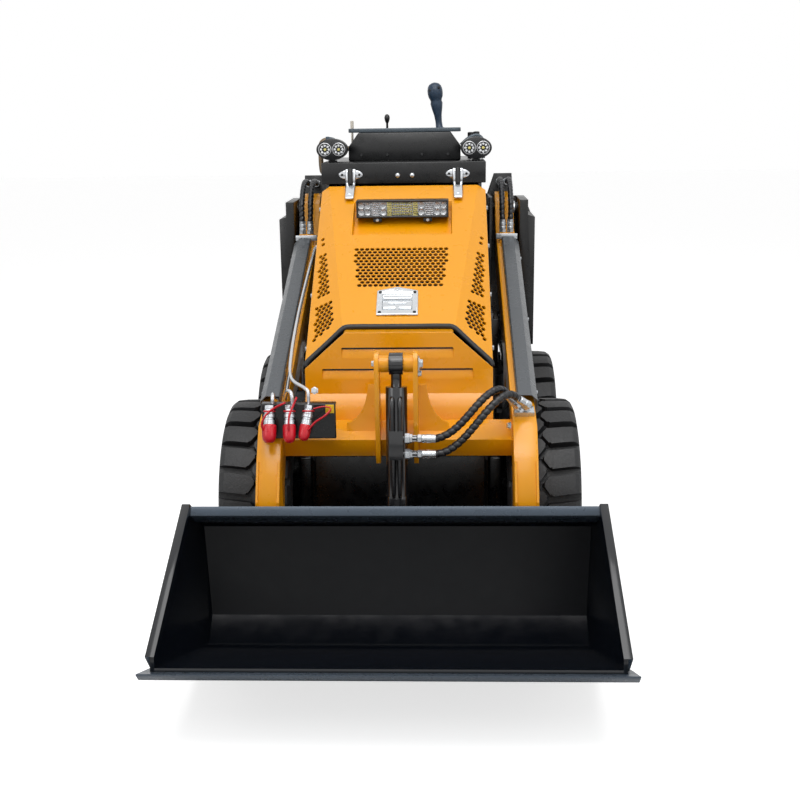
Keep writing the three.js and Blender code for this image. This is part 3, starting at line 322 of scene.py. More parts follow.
def eased(node, body, paint, edge=0.0015, segments=2, smooth=32):
    """A CAD piece with its plate edges rounded, in the CAD piece's place."""
    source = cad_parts[node]
    made = source.copy()
    made.data = source.data.copy()
    made.parent = None
    made.matrix_world = Matrix()
    made.name = made.data.name = node + "_eased"
    bpy.context.scene.collection.objects.link(made)
    choose(made)
    bpy.ops.object.mode_set(mode="EDIT")
    bpy.ops.mesh.select_all(action="SELECT")
    bpy.ops.mesh.remove_doubles(threshold=0.00002)
    bpy.ops.mesh.dissolve_limited(angle_limit=math.radians(0.6))
    bpy.ops.object.mode_set(mode="OBJECT")
    if edge:
        round_over = made.modifiers.new("round_over", "BEVEL")
        round_over.width = edge
        round_over.segments = segments
        round_over.limit_method = "ANGLE"
        round_over.angle_limit = math.radians(40)
        round_over.miter_outer = "MITER_ARC"
        bpy.ops.object.modifier_apply(modifier=round_over.name)
    bpy.ops.object.shade_smooth_by_angle(angle=math.radians(smooth))
    made.data.materials.clear()
    made.data.materials.append(paint)
    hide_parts(node)
    return kept(made, body)


for chassis_node in ("chassis_side_left", "chassis_side_right", "belly_pan", "front_plate",
                     "rear_cover"):
    eased(chassis_node, "chassis", satin_black)
eased("engine_block", "chassis", cast_grey, edge=0.012)


# ---- Wheels -----------------------------------------------------------------------------------
# Four 23-inch tyres with a deep bar tread, each side's pointed bars meeting at a zigzag groove.
# The tread is moulded in one with the casing and seats on a gloss black pressed-steel rim.
tread_rubber = finish("tread_rubber", shade(25, 26, 28), 0.55, drift=0.25, relief=0.5, grain=170,
                      patches=22)
rim_black = finish("rim_black_gloss", shade(30, 31, 33), 0.28, coat=0.2)
TYRE_CASING = [(-92, 152), (-96, 158), (-101, 176), (-105, 205), (-107, 232), (-107, 252),
               (-104, 268), (-98, 280), (-86, 288.5), (-60, 291), (0, 291.6), (60, 291),
               (86, 288.5), (98, 280), (104, 268), (107, 252), (107, 232), (105, 205), (101, 176),
               (96, 158), (92, 152)]
BARS = 23
HUB_HEIGHT, HALF_TRACK, WHEEL_BASE = 0.292, 0.422, 0.710
WHEEL_NUTS, NUT_CIRCLE = 8, 0.075


def only(piece, parts, test, kind):
    """In edit mode, with only the faces or edges that pass a test selected."""
    choose(piece)
    bpy.ops.object.mode_set(mode="EDIT")
    bpy.ops.mesh.select_all(action="DESELECT")
    bpy.ops.object.mode_set(mode="OBJECT")
    for part in parts:
        part.select = test(part)
    bpy.ops.object.mode_set(mode="EDIT")
    bpy.ops.mesh.select_mode(type=kind)


def groove_bar(name, low, high, turn=0.0):
    """A bar that cuts one run of the tread's groove, turned about the tyre's radius."""
    bpy.ops.object.select_all(action="DESELECT")
    low, high = Vector(low) / 1000, Vector(high) / 1000
    bpy.ops.mesh.primitive_cube_add(size=1, location=(low + high) / 2)
    bar = bpy.context.active_object
    bar.scale = high - low
    bar.rotation_euler = (0, 0, turn)
    bar.name = name
    bpy.ops.object.transform_apply(location=True, rotation=True, scale=True)
    only(bar, bar.data.polygons, lambda face: face.normal.z > 0.9, "FACE")
    bpy.ops.transform.resize(value=(1.12, 1.35, 1))
    bpy.ops.object.mode_set(mode="OBJECT")
    return bar


def copied(piece, name):
    """A copy with its own mesh."""
    made = piece.copy()
    made.data = piece.data.copy()
    made.name = made.data.name = name
    bpy.context.scene.collection.objects.link(made)
    return made


def joined(pieces, name):
    """Several pieces made one object."""
    bpy.ops.object.select_all(action="DESELECT")
    for piece in pieces:
        piece.select_set(True)
    bpy.context.view_layer.objects.active = pieces[0]
    bpy.ops.object.join()
    made = bpy.context.active_object
    made.name = made.data.name = name
    return made


def cut_away(piece, tool, self_crossing=False):
    """Takes a tool's shape out of a piece, and the tool with it."""
    choose(piece)
    cutter = piece.modifiers.new("cut", "BOOLEAN")
    cutter.operation = "DIFFERENCE"
    cutter.solver = "EXACT"
    cutter.use_self = self_crossing
    cutter.object = tool
    bpy.ops.object.modifier_apply(modifier=cutter.name)
    bpy.data.objects.remove(tool)


def rounded_over(piece, width, segments=2, angle=35):
    """Rounds a finished piece's sharp edges."""
    choose(piece)
    rounding = piece.modifiers.new("round_over", "BEVEL")
    rounding.width = width
    rounding.segments = segments
    rounding.limit_method = "ANGLE"
    rounding.angle_limit = math.radians(angle)
    bpy.ops.object.modifier_apply(modifier=rounding.name)


bpy.ops.object.select_all(action="DESELECT")
bpy.ops.mesh.primitive_circle_add(vertices=92, radius=TYRE_CASING[0][1] / 1000, fill_type="NOTHING",
                                  location=(TYRE_CASING[0][0] / 1000, 0, 0),
                                  rotation=(0, math.radians(90), 0))
tyre = bpy.context.active_object
bpy.ops.object.mode_set(mode="EDIT")
bpy.ops.mesh.select_all(action="SELECT")
for (x, r), (next_x, next_r) in zip(TYRE_CASING, TYRE_CASING[1:]):
    bpy.ops.mesh.extrude_region_move(
        TRANSFORM_OT_translate={"value": ((next_x - x) / 1000, 0, 0)})
    bpy.ops.transform.resize(value=(1, next_r / r, next_r / r),
                             center_override=(next_x / 1000, 0, 0))
bpy.ops.mesh.select_all(action="DESELECT")
bpy.ops.mesh.select_non_manifold(extend=False)
bpy.ops.mesh.bridge_edge_loops()
bpy.ops.mesh.select_all(action="SELECT")
bpy.ops.mesh.normals_make_consistent(inside=False)
bpy.ops.object.mode_set(mode="OBJECT")
pitch_angle = 2 * math.pi / BARS
half_pitch = 0.5 * pitch_angle * 291
pitch_cutters = []
for half, shift in ((-1, 0.0), (1, 0.5)):
    slot_bar = groove_bar("slot", (-58, -9, 266), (58, 9, 300), turn=half * 0.10)
    slot_bar.data.transform(Matrix.Translation((half * 0.066, 0, 0)))
    slot_bar.data.transform(Matrix.Rotation(shift * pitch_angle, 4, "X"))
    zig = groove_bar("zig", (-math.hypot(half_pitch, 34) / 2 - 3, -5, 269),
                     (math.hypot(half_pitch, 34) / 2 + 3, 5, 300),
                     turn=math.atan2(half_pitch, 34 * half))
    zig.data.transform(Matrix.Rotation((shift + 0.25) * pitch_angle, 4, "X"))
    pitch_cutters += [slot_bar, zig]
one_pitch = joined(pitch_cutters, "one_pitch")
all_pitches = [one_pitch]
for k in range(1, BARS):
    turned_pitch = copied(one_pitch, f"pitch_{k}")
    turned_pitch.data.transform(Matrix.Rotation(k * pitch_angle, 4, "X"))
    all_pitches.append(turned_pitch)
cut_away(tyre, joined(all_pitches, "tread_grooves"), self_crossing=True)
rounded_over(tyre, 0.0013, segments=1, angle=38)
settle(tyre, "tyre_pattern", tread_rubber, smooth=24)

for axle, axle_y in (("front", 0.0), ("rear", WHEEL_BASE)):
    for hand, sign in (("left", 1), ("right", -1)):
        wheel_body = f"wheel_{axle}_{hand}"
        hub = Vector((sign * HALF_TRACK, axle_y + FRONT_AXLE_Y, HUB_HEIGHT))
        fitted = copied(tyre, f"tyre_{axle}_{hand}_treaded")
        fitted.data.transform(
            Matrix.Translation(hub) @ Matrix.Rotation(0.08 * sign + axle_y, 4, "X"))
        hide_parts(f"tyre_{axle}_{hand}")
        kept(fitted, wheel_body)
        eased(f"rim_{axle}_{hand}", wheel_body, rim_black, edge=0.002)
        outward = (sign, 0, 0)
        hub_face = hub + Vector((sign * 0.001, 0, 0))
        kept(turned(f"hub_cap_{axle}_{hand}", hub_face, outward,
                    [(0, 0.052), (0.012, 0.052), (0.022, 0.046), (0.027, 0.034), (0.028, 0.012)],
                    rim_black, sides=40), wheel_body)
        for k in range(WHEEL_NUTS):
            swing = 2 * math.pi * k / WHEEL_NUTS
            spot = hub_face + NUT_CIRCLE * Vector((0, math.cos(swing), math.sin(swing)))
            kept(turned(f"wheel_nut_{axle}_{hand}_{k}", spot, outward,
                        [(0, 0.0145), (0.002, 0.0145), (0.0025, 0.0105), (0.013, 0.0105),
                         (0.015, 0.009), (0.016, 0.006), (0.022, 0.006), (0.023, 0.005)],
                        zinc_fitting, sides=6, smooth=20), wheel_body)
bpy.data.objects.remove(tyre)


# ---- Front panel ------------------------------------------------------------------------------
# One bent sheet under the hood, painted yellow. Two long slots are cut in it. The leaf behind
# each leans back and stops short of the top, which leaves a narrow dark gap for air. A black
# sheet behind each slot is painted shade for the dark inside of the panel.
def slab(name, low, high, paint, edge=0.0012, segments=2):
    """A bar or plate between two corners, its edges rounded."""
    low, high = Vector(low), Vector(high)
    bpy.ops.object.select_all(action="DESELECT")
    bpy.ops.mesh.primitive_cube_add(size=1, location=(low + high) / 2)
    bpy.context.active_object.scale = [abs(v) for v in high - low]
    bpy.ops.object.transform_apply(location=True, rotation=True, scale=True)
    if edge:
        bpy.ops.object.mode_set(mode="EDIT")
        bpy.ops.mesh.select_all(action="SELECT")
        bpy.ops.mesh.bevel(offset=edge, segments=segments, affect="EDGES")
        bpy.ops.object.mode_set(mode="OBJECT")
    return settle(bpy.context.active_object, name, paint)


front_panel = eased("front_panel", "chassis", machine_yellow, edge=0.0012)
LOUVRE_LEAN = math.radians(-14)
slot_tools = []
for low_x, high_x, low_z, high_z in ((-166, 160, 751, 782), (-224, 217, 688, 719)):
    opening = slab("slot_tool", at(low_x, -152, low_z), at(high_x, -126, high_z), machine_yellow,
                   edge=0)
    corners = opening.data.vertices
    only(opening, opening.data.edges, lambda edge: abs(
        corners[edge.vertices[0]].co.y - corners[edge.vertices[1]].co.y) > 0.01, "EDGE")
    bpy.ops.mesh.bevel(offset=0.004, segments=3, affect="EDGES")
    bpy.ops.object.mode_set(mode="OBJECT")
    slot_tools.append(opening)
    back_leaf = slab(f"panel_louvre_{low_z}", at(low_x - 2, -139.6, low_z - 3),
                     at(high_x + 2, -137.6, high_z - 6), machine_yellow, edge=0.0006)
    fold = at(0, -138, low_z)
    back_leaf.data.transform(Matrix.Translation(fold) @ Matrix.Rotation(LOUVRE_LEAN, 4, "X")
                             @ Matrix.Translation(-fold))
    kept(back_leaf, "chassis")
    # A black sheet behind the slot: painted shade for the dark inside of the panel.
    kept(slab(f"slot_shade_sheet_{low_z}", at(low_x - 6, -130, low_z - 8),
              at(high_x + 6, -128, high_z + 8), satin_black, edge=0.0005),
         "chassis")
cut_away(front_panel, joined(slot_tools, "slot_tools"))
settle(front_panel, "front_panel_slotted", machine_yellow, smooth=16)
for k, (bolt_x, bolt_z) in enumerate(((-250, 520), (250, 520), (-250, 590), (250, 590))):
    kept(turned(f"panel_bolt_{k}", at(bolt_x, -172, bolt_z), (0, -1, 0),
                [(0, 0.0095), (0.0015, 0.0095), (0.0018, 0.0065), (0.006, 0.0065),
                 (0.0066, 0.0058)],
                zinc_fitting, sides=6, smooth=20), "chassis")


# ---- Drive cases and valve bank -------------------------------------------------------------
# A long black chain case on each side of the chassis carries the drive between the two wheels.
# Above the left one, black valve sections in a row feed the hoses, each with two end caps.
CASE_X = 284
for hand, sign in (("left", 1), ("right", -1)):
    x = sign * CASE_X
    kept(slab(f"chain_case_{hand}", at(x - 21, -120, 178), at(x + 21, 600, 440), satin_black,
              edge=0.008, segments=3), "chassis")
    kept(slab(f"case_lid_{hand}", at(x - 17, -60, 437), at(x + 17, 540, 446), satin_black,
              edge=0.002), "chassis")
VALVE_PITCH, VALVE_WIDTH = 34, 31
for k in range(5):
    y = 262 + VALVE_PITCH * k
    kept(slab(f"valve_section_{k}", at(267, y, 628), at(310, y + VALVE_WIDTH, 790), satin_black,
              edge=0.003), "chassis")
    for tier, z in enumerate((655, 762)):
        kept(swept(f"valve_cap_{k}_{tier}", [at(288, y + 15, z - 14), at(288, y + 15, z + 46)],
                   lambda gone, angle: 0.0095, 12, satin_black), "chassis")


# ---- Engine -----------------------------------------------------------------------------------
# What sits on and round the engine block under the hood: rocker cover, air cleaner, silencer,
# battery and alternator, with a finned radiator and its tanks in front and two rubber hoses.
for name, low, high, paint, edge in (
        ("rocker_cover", (-62, 170, 638), (62, 500, 706), satin_black, 0.014),
        ("engine_flywheel_case", (-150, 556, 330), (150, 590, 650), cast_grey, 0.02),
        ("battery_case", (96, 380, 640), (186, 540, 790), satin_black, 0.006),
        ("radiator_top_tank", (-178, 30, 690), (178, 86, 726), satin_black, 0.01),
        ("radiator_foot_tank", (-178, 30, 380), (178, 86, 414), satin_black, 0.01)):
    kept(slab(name, at(*low), at(*high), paint, edge=edge, segments=3), "chassis")
FINS, FIN_PITCH, FIN_SHEET = 46, 7.6, 2.4
fins = []
for k in range(FINS):
    x = -172 + FIN_PITCH * k
    fins.append(slab("fin", at(x, 40, 412), at(x + FIN_SHEET, 76, 692), cast_grey, edge=0))
fins = joined(fins, "radiator_fins")
settle(fins, "radiator_fins", cast_grey)
kept(fins, "chassis")
for name, radius, route, paint in (
        ("air_cleaner", 0.062, ((-126, 210, 716), (-126, 440, 716)), satin_black),
        ("air_cleaner_lid", 0.066, ((-126, 436, 716), (-126, 462, 716)), satin_black),
        ("silencer", 0.048, ((120, 130, 692), (120, 356, 692)), cast_grey),
        ("alternator", 0.052, ((-150, 120, 600), (-150, 230, 600)), cast_grey),
        ("fan_hub", 0.05, ((0, 84, 560), (0, 128, 560)), satin_black)):
    line = [at(*route[0]).lerp(at(*route[1]), t / 12) for t in range(13)]
    kept(swept(name, line,
               lambda gone, angle, wide=radius: wide * (1 + 0.02 * math.cos(gone * 160)),
               24, paint), "chassis")
for name, route in (("radiator_hose_top", ((-60, 80, 708), (-60, 120, 716), (-44, 160, 724),
                                           (-30, 200, 712), (-30, 220, 700))),
                    ("air_hose", ((-126, 212, 716), (-118, 190, 716), (-90, 178, 706),
                                  (-62, 190, 690), (-55, 200, 680)))):
    kept(swept(name, smooth_route([at(*p) for p in route], 0.008), lambda gone, angle: 0.019, 16,
               satin_black), "chassis")


# ---- Hood -------------------------------------------------------------------------------------
# A folded and welded yellow shell, open underneath, that hinges at its toe. Its face and its
# sloping cheeks are punched with staggered round holes, backed by black sheets that are painted
# shade for the dark inside of the hood.
# A rubber seal edges the toe.
hood_shell = eased("hood_shell", "hood", machine_yellow, edge=0.0022)
bpy.ops.object.select_all(action="DESELECT")
bpy.ops.mesh.primitive_cylinder_add(vertices=12, radius=0.0072, depth=0.016)
punch = bpy.context.active_object


def inside(outline, u, v):
    """Whether a point lies in an outline of corners."""
    crossed = False
    for (a, b), (c, d) in zip(outline, outline[1:] + outline[:1]):
        if (b > v) != (d > v) and u < (c - a) * (v - b) / (d - b) + a:
            crossed = not crossed
    return crossed


HALF_ROW = 12


def punched(outline, face, pitch, rows, margin):
    """Copies of the punch on a face, in staggered rows inside an outline in millimetres."""
    made = []
    low_v = min(v for _, v in outline)
    high_v = max(v for _, v in outline)
    low_u = min(u for u, _ in outline)
    high_u = max(u for u, _ in outline)
    row = 0
    v = low_v + margin
    while v < high_v:
        u = (low_u + high_u) / 2 - pitch * (HALF_ROW if row % 2 else HALF_ROW + 0.5)
        while u < high_u:
            if all(inside(outline, u + margin * math.cos(a), v + margin * math.sin(a))
                   for a in (0, 1.6, 3.1, 4.7)):
                hole = copied(punch, "hole")
                hole.data.transform(face @ Matrix.Translation((u / 1000, v / 1000, 0)))
                made.append(hole)
            u += pitch
        row += 1
        v += rows
    return made


def lie_on(piece, face):
    """Moves a piece made flat on the ground onto a face."""
    piece.data.transform(face)
    return piece


HOOD_TOE = (-80, 838)
HOOD_RISE, HOOD_RUN, HOOD_FLARE = 367, 574, 82
HOOD_SLOPE = math.atan2(HOOD_RISE, HOOD_RUN)
hood_face = Matrix.Translation(at(0, *HOOD_TOE)) @ Matrix.Rotation(HOOD_SLOPE, 4, "X")
holes = punched([(-133, 171), (133, 171), (157, 355), (-157, 355)], hood_face, 16.6, 14.3, 5)
cheeks = []
for hand in (1, -1):
    ridge = Vector((hand * HOOD_FLARE, HOOD_RUN, HOOD_RISE)).normalized()
    outward = Vector((hand * 0.4266, -0.530, 0.734)).normalized()
    along = ridge.cross(outward).normalized() * hand
    foot = at(hand * 167, *HOOD_TOE)
    cheek = Matrix.Translation(foot) @ Matrix(
        (along, ridge, along.cross(ridge))).transposed().to_4x4()
    cheeks.append((hand, cheek, outward))
    for cheek_outline in (
            [(256.6, 353, 1099), (241.9, 252, 1034.8), (260, 251, 1023)],
            [(236.7, 228, 1019), (260, 228, 1005), (257.4, 58, 886), (212, 62, 914.6)],
            [(209, 38, 900), (259, 34, 867.4), (256.5, -87, 781), (194, -54, 841)]):
        flat = []
        for x, y, z in cheek_outline:
            reach = at(hand * x, y, z) - foot
            flat.append((reach.dot(along) * 1000, reach.dot(ridge) * 1000))
        holes += punched(flat, cheek, 16, 13, 2.6)
bpy.data.objects.remove(punch)
cut_away(hood_shell, joined(holes, "hood_holes"))
settle(hood_shell, "hood_shell_punched", machine_yellow, smooth=16)
# The black sheets behind the holes are painted shade, standing for the dark inside of the hood.
hole_shade_black = finish("hood_hole_painted_shade", shade(6, 6, 7), 0.9, relief=0.6, grain=500)
kept(lie_on(slab("hood_hole_shade_sheet", (-0.162, 0.166, -0.014), (0.162, 0.358, -0.009), hole_shade_black,
                 edge=0.001), hood_face), "hood")
for hand, cheek, outward in cheeks:
    lift = -1 if (cheek.to_3x3() @ Vector((0, 0, 1))).dot(outward) > 0 else 1
    for k, (low_v, high_v, low_u, high_u) in enumerate(((0.02, 0.12, 0.018, 0.082),
                                                        (0.14, 0.36, 0.022, 0.066),
                                                        (0.38, 0.53, 0.024, 0.044))):
        kept(lie_on(slab(f"cheek_hole_shade_{hand + 1}_{k}",
                         (low_u, low_v, min(lift * 0.0125, lift * 0.0095)),
                         (high_u, high_v, max(lift * 0.0125, lift * 0.0095)), hole_shade_black,
                         edge=0.0005), cheek), "hood")
seal_rubber = finish("seal_rubber", shade(22, 23, 25), 0.5, relief=0.2, grain=260)
SEAL_ROUTE = [(273, -129, 722), (270, -127, 734), (250, -119, 753), (215, -107, 783),
              (180, -95, 815), (170, -91, 824), (156, -88, 832), (130, -87, 833.5),
              (60, -87, 833.5), (0, -87, 833.5)]
seal_line = [at(*p) for p in SEAL_ROUTE] + [at(-x, y, z) for x, y, z in SEAL_ROUTE[-2::-1]]
kept(swept("hood_seal", smooth_route(seal_line, 0.01), lambda gone, angle: 0.0082, 14,
           seal_rubber), "hood")
for hand in (1, -1):
    for k, (y, z) in enumerate(((-60, 762), (120, 893), (300, 1022), (450, 1131))):
        kept(turned(f"hood_side_bolt_{hand}_{k}", at(hand * 274, y, z), (hand, 0, 0),
                    [(0, 0.010), (0.0015, 0.010), (0.002, 0.0075), (0.006, 0.0075),
                     (0.007, 0.006)], zinc_fitting, sides=6, smooth=20), "hood")


# ---- Hood handle plate ------------------------------------------------------------------------
# A polished cast plate with a gabled top, held by four dark screws and closed by one lock, with
# a finger recess and ribs across it.
polished_zinc = finish("polished_zinc", shade(214, 217, 220), 0.16, metal=0.9, relief=0.04,
                       grain=120, patches=30)
black_screw = finish("black_screw", shade(26, 27, 29), 0.35, metal=0.4)


def pick(piece, test):
    """In edit mode, with only the corners that pass a test selected."""
    choose(piece)
    bpy.ops.object.mode_set(mode="EDIT")
    bpy.ops.mesh.select_mode(type="VERT")
    bpy.ops.mesh.select_all(action="DESELECT")
    bpy.ops.object.mode_set(mode="OBJECT")
    for corner in piece.data.vertices:
        corner.select = test(corner.co)
    bpy.ops.object.mode_set(mode="EDIT")


plate_face = Matrix.Translation(at(-6.5, 0, 889.2)) @ Matrix.Rotation(HOOD_SLOPE, 4, "X")
handle_plate = slab("handle_plate", (-0.0625, -0.058, 0.0005), (0.0625, 0.050, 0.0075),
                    polished_zinc, edge=0)
choose(handle_plate)
bpy.ops.object.mode_set(mode="EDIT")
bpy.ops.mesh.select_all(action="SELECT")
bpy.ops.mesh.bisect(plane_co=(0, 0, 0), plane_no=(1, 0, 0))
bpy.ops.object.mode_set(mode="OBJECT")
pick(handle_plate, lambda corner: abs(corner.x) < 0.001 and corner.y > 0.03)
bpy.ops.transform.translate(value=(0, 0.017, 0))
bpy.ops.object.mode_set(mode="OBJECT")
rounded_over(handle_plate, 0.005, segments=3, angle=60)
pocket = slab("pocket", (-0.045, -0.038, 0.0028), (0.045, 0.034, 0.02), polished_zinc, edge=0.002)
cut_away(handle_plate, pocket)
rounded_over(handle_plate, 0.0007, segments=2, angle=40)
settle(handle_plate, "hood_handle_plate", polished_zinc, smooth=30)
lie_on(handle_plate, plate_face)
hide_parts("hood_handle")
kept(handle_plate, "hood")
for k, (low, high) in enumerate((((-0.042, 0.010, 0.002), (0.042, 0.024, 0.0095)),
                                 ((-0.042, -0.030, 0.002), (-0.004, -0.016, 0.007)),
                                 ((0.004, -0.030, 0.002), (0.042, -0.016, 0.007)),
                                 ((-0.028, -0.008, 0.002), (0.028, -0.001, 0.006)))):
    kept(lie_on(slab(f"handle_rib_{k}", low, high, polished_zinc, edge=0.0015), plate_face),
         "hood")
for k, (x, y) in enumerate(((-0.052, 0.040), (0.052, 0.040), (-0.052, -0.049),
                            (0.052, -0.049))):
    kept(lie_on(turned(f"handle_screw_{k}", (x, y, 0.0074), (0, 0, 1),
                       [(0, 0.0052), (0.0016, 0.0048), (0.0022, 0.0035)], black_screw, sides=16),
                plate_face), "hood")
kept(lie_on(turned("handle_lock", (0, 0.047, 0.0074), (0, 0, 1),
                   [(0, 0.0105), (0.002, 0.0105), (0.003, 0.009), (0.0032, 0.006),
                    (0.0016, 0.0055), (0.0016, 0.003)], polished_zinc, sides=24), plate_face),
     "hood")


# ---- Light bar --------------------------------------------------------------------------------
# An LED bar on two black feet: a finned die-cast housing, silvered reflector cups at its ends,
# ribbed lenses between them and a close-set yellow-tinted cluster in the middle.
bar_black = finish("light_bar_black", shade(20, 21, 23), 0.32, relief=0.08)
reflector_silver = finish("reflector_silver", shade(205, 206, 208), 0.14, metal=0.95, relief=0.3,
                          grain=900, patches=60)
led_yellow = finish("led_phosphor_yellow", shade(226, 214, 128), 0.4, relief=0.4, grain=1400,
                    patches=200)
bar_housing = eased("light_bar", "hood", bar_black, edge=0.003)
low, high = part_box("light_bar")
face_y = low[1]
bar_mid_x, bar_mid_z = (low[0] + high[0]) / 2, (low[2] + high[2]) / 2
bezel_cut = slab("bezel_cut", (low[0] + 0.006, face_y - 0.01, low[2] + 0.007),
                 (high[0] - 0.006, face_y + 0.014, high[2] - 0.007), bar_black, edge=0.003)
cut_away(bar_housing, bezel_cut)
kept(slab("light_bar_backing", (low[0] + 0.0055, face_y + 0.012, low[2] + 0.0065),
          (high[0] - 0.0055, face_y + 0.0145, high[2] - 0.0065), reflector_silver, edge=0.0005),
     "hood")
cup_rings = [(0, 0.0092), (0.0004, 0.0098), (-0.001, 0.0088), (-0.005, 0.0062), (-0.009, 0.0034),
             (-0.0092, 0.0005)]
for k, cup_x in enumerate((-0.134, -0.113, -0.062, 0.062, 0.113, 0.134)):
    for tier, level_z in enumerate((-0.0105, 0.0105)):
        spot = (bar_mid_x + cup_x, face_y + 0.0035, bar_mid_z + level_z)
        cup = turned(f"light_cup_{k}_{tier}", spot, (0, -1, 0), cup_rings,
                     reflector_silver, sides=20)
        kept(cup, "hood")
        chip = turned(f"light_chip_{k}_{tier}", (spot[0], spot[1] + 0.0088, spot[2]),
                      (0, -1, 0), [(0, 0.0034), (0.0012, 0.003), (0.0018, 0.0015)], led_yellow,
                      sides=12)
        kept(chip, "hood")
for k, (rib_low, rib_high) in enumerate(((-0.1, -0.074), (0.074, 0.1), (-0.05, -0.034),
                                         (0.034, 0.05))):
    for rib in range(7):
        z = bar_mid_z - 0.0195 + rib * 0.0065
        kept(slab(f"light_rib_{k}_{rib}", (bar_mid_x + rib_low, face_y + 0.002, z - 0.0022),
                  (bar_mid_x + rib_high, face_y + 0.0125, z + 0.0022),
                  reflector_silver if k < 2 else led_yellow, edge=0.0015), "hood")
for column in range(9):
    for row in range(5):
        spot = (bar_mid_x - 0.0288 + column * 0.0072, face_y + 0.011,
                bar_mid_z - 0.0172 + row * 0.0086)
        kept(turned(f"light_seed_{column}_{row}", spot, (0, -1, 0),
                    [(0, 0.0034), (0.003, 0.003), (0.0055, 0.0018), (0.0062, 0.0006)], led_yellow,
                    sides=8), "hood")
clear_lens = bpy.data.materials.new("clear_lens")
clear_lens.use_nodes = True
lens_nodes, lens_links = clear_lens.node_tree.nodes, clear_lens.node_tree.links
lens_shader = lens_nodes["Principled BSDF"]
lens_shader.inputs["Transmission Weight"].default_value = 1.0
lens_shader.inputs["IOR"].default_value = 1.2
lens_haze = lens_nodes.new("ShaderNodeTexNoise")
lens_haze.inputs["Scale"].default_value = 40
lens_place = lens_nodes.new("ShaderNodeTexCoord")
lens_links.new(lens_place.outputs["Object"], lens_haze.inputs["Vector"])
lens_gloss = lens_nodes.new("ShaderNodeMapRange")
lens_gloss.inputs["To Min"].default_value = 0.02
lens_gloss.inputs["To Max"].default_value = 0.1
lens_links.new(lens_haze.outputs["Fac"], lens_gloss.inputs["Value"])
lens_links.new(lens_gloss.outputs["Result"], lens_shader.inputs["Roughness"])
kept(slab("light_bar_lens", (low[0] + 0.006, face_y + 0.0002, low[2] + 0.007),
          (high[0] - 0.006, face_y + 0.0016, high[2] - 0.007), clear_lens, edge=0.0004),
     "hood")
for k, foot_x in enumerate((-0.082, 0.082)):
    foot_spot = bar_mid_x + foot_x
    kept(slab(f"light_bar_foot_{k}", (foot_spot - 0.014, face_y + 0.010, low[2] - 0.014),
              (foot_spot + 0.014, face_y + 0.034, low[2] - 0.0005), bar_black, edge=0.002),
         "hood")
    kept(turned(f"light_bar_foot_bolt_{k}", (foot_spot, face_y + 0.0105, low[2] - 0.007),
                (0, -1, 0), [(0, 0.0058), (0.003, 0.0058), (0.0036, 0.0048)], zinc_fitting,
                sides=6, smooth=20), "hood")


# ---- Cowl and latches -------------------------------------------------------------------------
# A black sheet deck behind the hood, with a band across its front. Two draw latches on the band
# pull the hood down: a flanged plate, a black rubber strap and a tapered chrome tongue.
eased("cowl", "chassis", satin_black, edge=0.002)
for k, x in enumerate((-19.6, 29.1)):
    kept(turned(f"cowl_bolt_{k}", at(x, 500, 1238), (0, -1, 0),
                [(0, 0.0085), (0.001, 0.0085), (0.0035, 0.0075), (0.0055, 0.005),
                 (0.0062, 0.002)],
                zinc_fitting, sides=20), "chassis")
latch_chrome = finish("latch_chrome", shade(214, 217, 221), 0.12, metal=0.95, relief=0.06,
                      grain=90, patches=24)
for hand, latch_x in (("right", -177), ("left", 182)):
    plate = turned(f"latch_plate_{hand}", at(latch_x, 499.5, 1242), (0, -1, 0),
                   [(0, 0.020), (0.0022, 0.020), (0.003, 0.0185)], latch_chrome, sides=40)
    choose(plate)
    bpy.ops.object.mode_set(mode="EDIT")
    bpy.ops.mesh.select_all(action="SELECT")
    bpy.ops.transform.resize(value=(2.0, 1, 0.8), center_override=at(latch_x, 499.5, 1242))
    bpy.ops.object.mode_set(mode="OBJECT")
    kept(plate, "chassis")
    kept(slab(f"latch_box_{hand}", at(latch_x - 19, 488, 1222), at(latch_x + 19, 499, 1261),
              latch_chrome, edge=0.005, segments=3), "chassis")
    kept(slab(f"latch_arm_{hand}", at(latch_x - 16.5, 478, 1196), at(latch_x + 16.5, 489, 1256),
              latch_chrome, edge=0.004, segments=3), "chassis")
    for side in (-29, 29):
        kept(turned(f"latch_rivet_{hand}_{side}", at(latch_x + side, 497, 1242), (0, -1, 0),
                    [(0, 0.0045), (0.0012, 0.0042), (0.0022, 0.0025)], black_screw, sides=14),
             "chassis")
    strap_line = [at(latch_x, 482, 1262), at(latch_x, 478, 1246), at(latch_x, 475, 1226),
                  at(latch_x, 474, 1212)]
    kept(swept(f"latch_strap_{hand}", smooth_route(strap_line, 0.004),
               lambda gone, angle: 0.009, 12, seal_rubber), "chassis")
    latch_face = (Matrix.Translation(at(latch_x, 462, 1190.5))
                  @ Matrix.Rotation(HOOD_SLOPE, 4, "X"))
    tongue = slab(f"latch_tongue_{hand}", (-0.0175, -0.052, 0.002), (0.0175, 0.044, 0.014),
                  latch_chrome, edge=0)
    pick(tongue, lambda corner: corner.y < 0)
    bpy.ops.transform.resize(value=(0.8, 1, 0.7), center_override=(0, -0.048, 0.004))
    bpy.ops.object.mode_set(mode="OBJECT")
    rounded_over(tongue, 0.0045, segments=3, angle=60)
    slot_cut = slab("slot_cut", (-0.006, -0.036, 0.008), (0.006, -0.026, 0.02), latch_chrome,
                    edge=0.0025)
    cut_away(tongue, slot_cut)
    settle(tongue, f"latch_tongue_{hand}", latch_chrome, smooth=30)
    kept(lie_on(tongue, latch_face), "chassis")


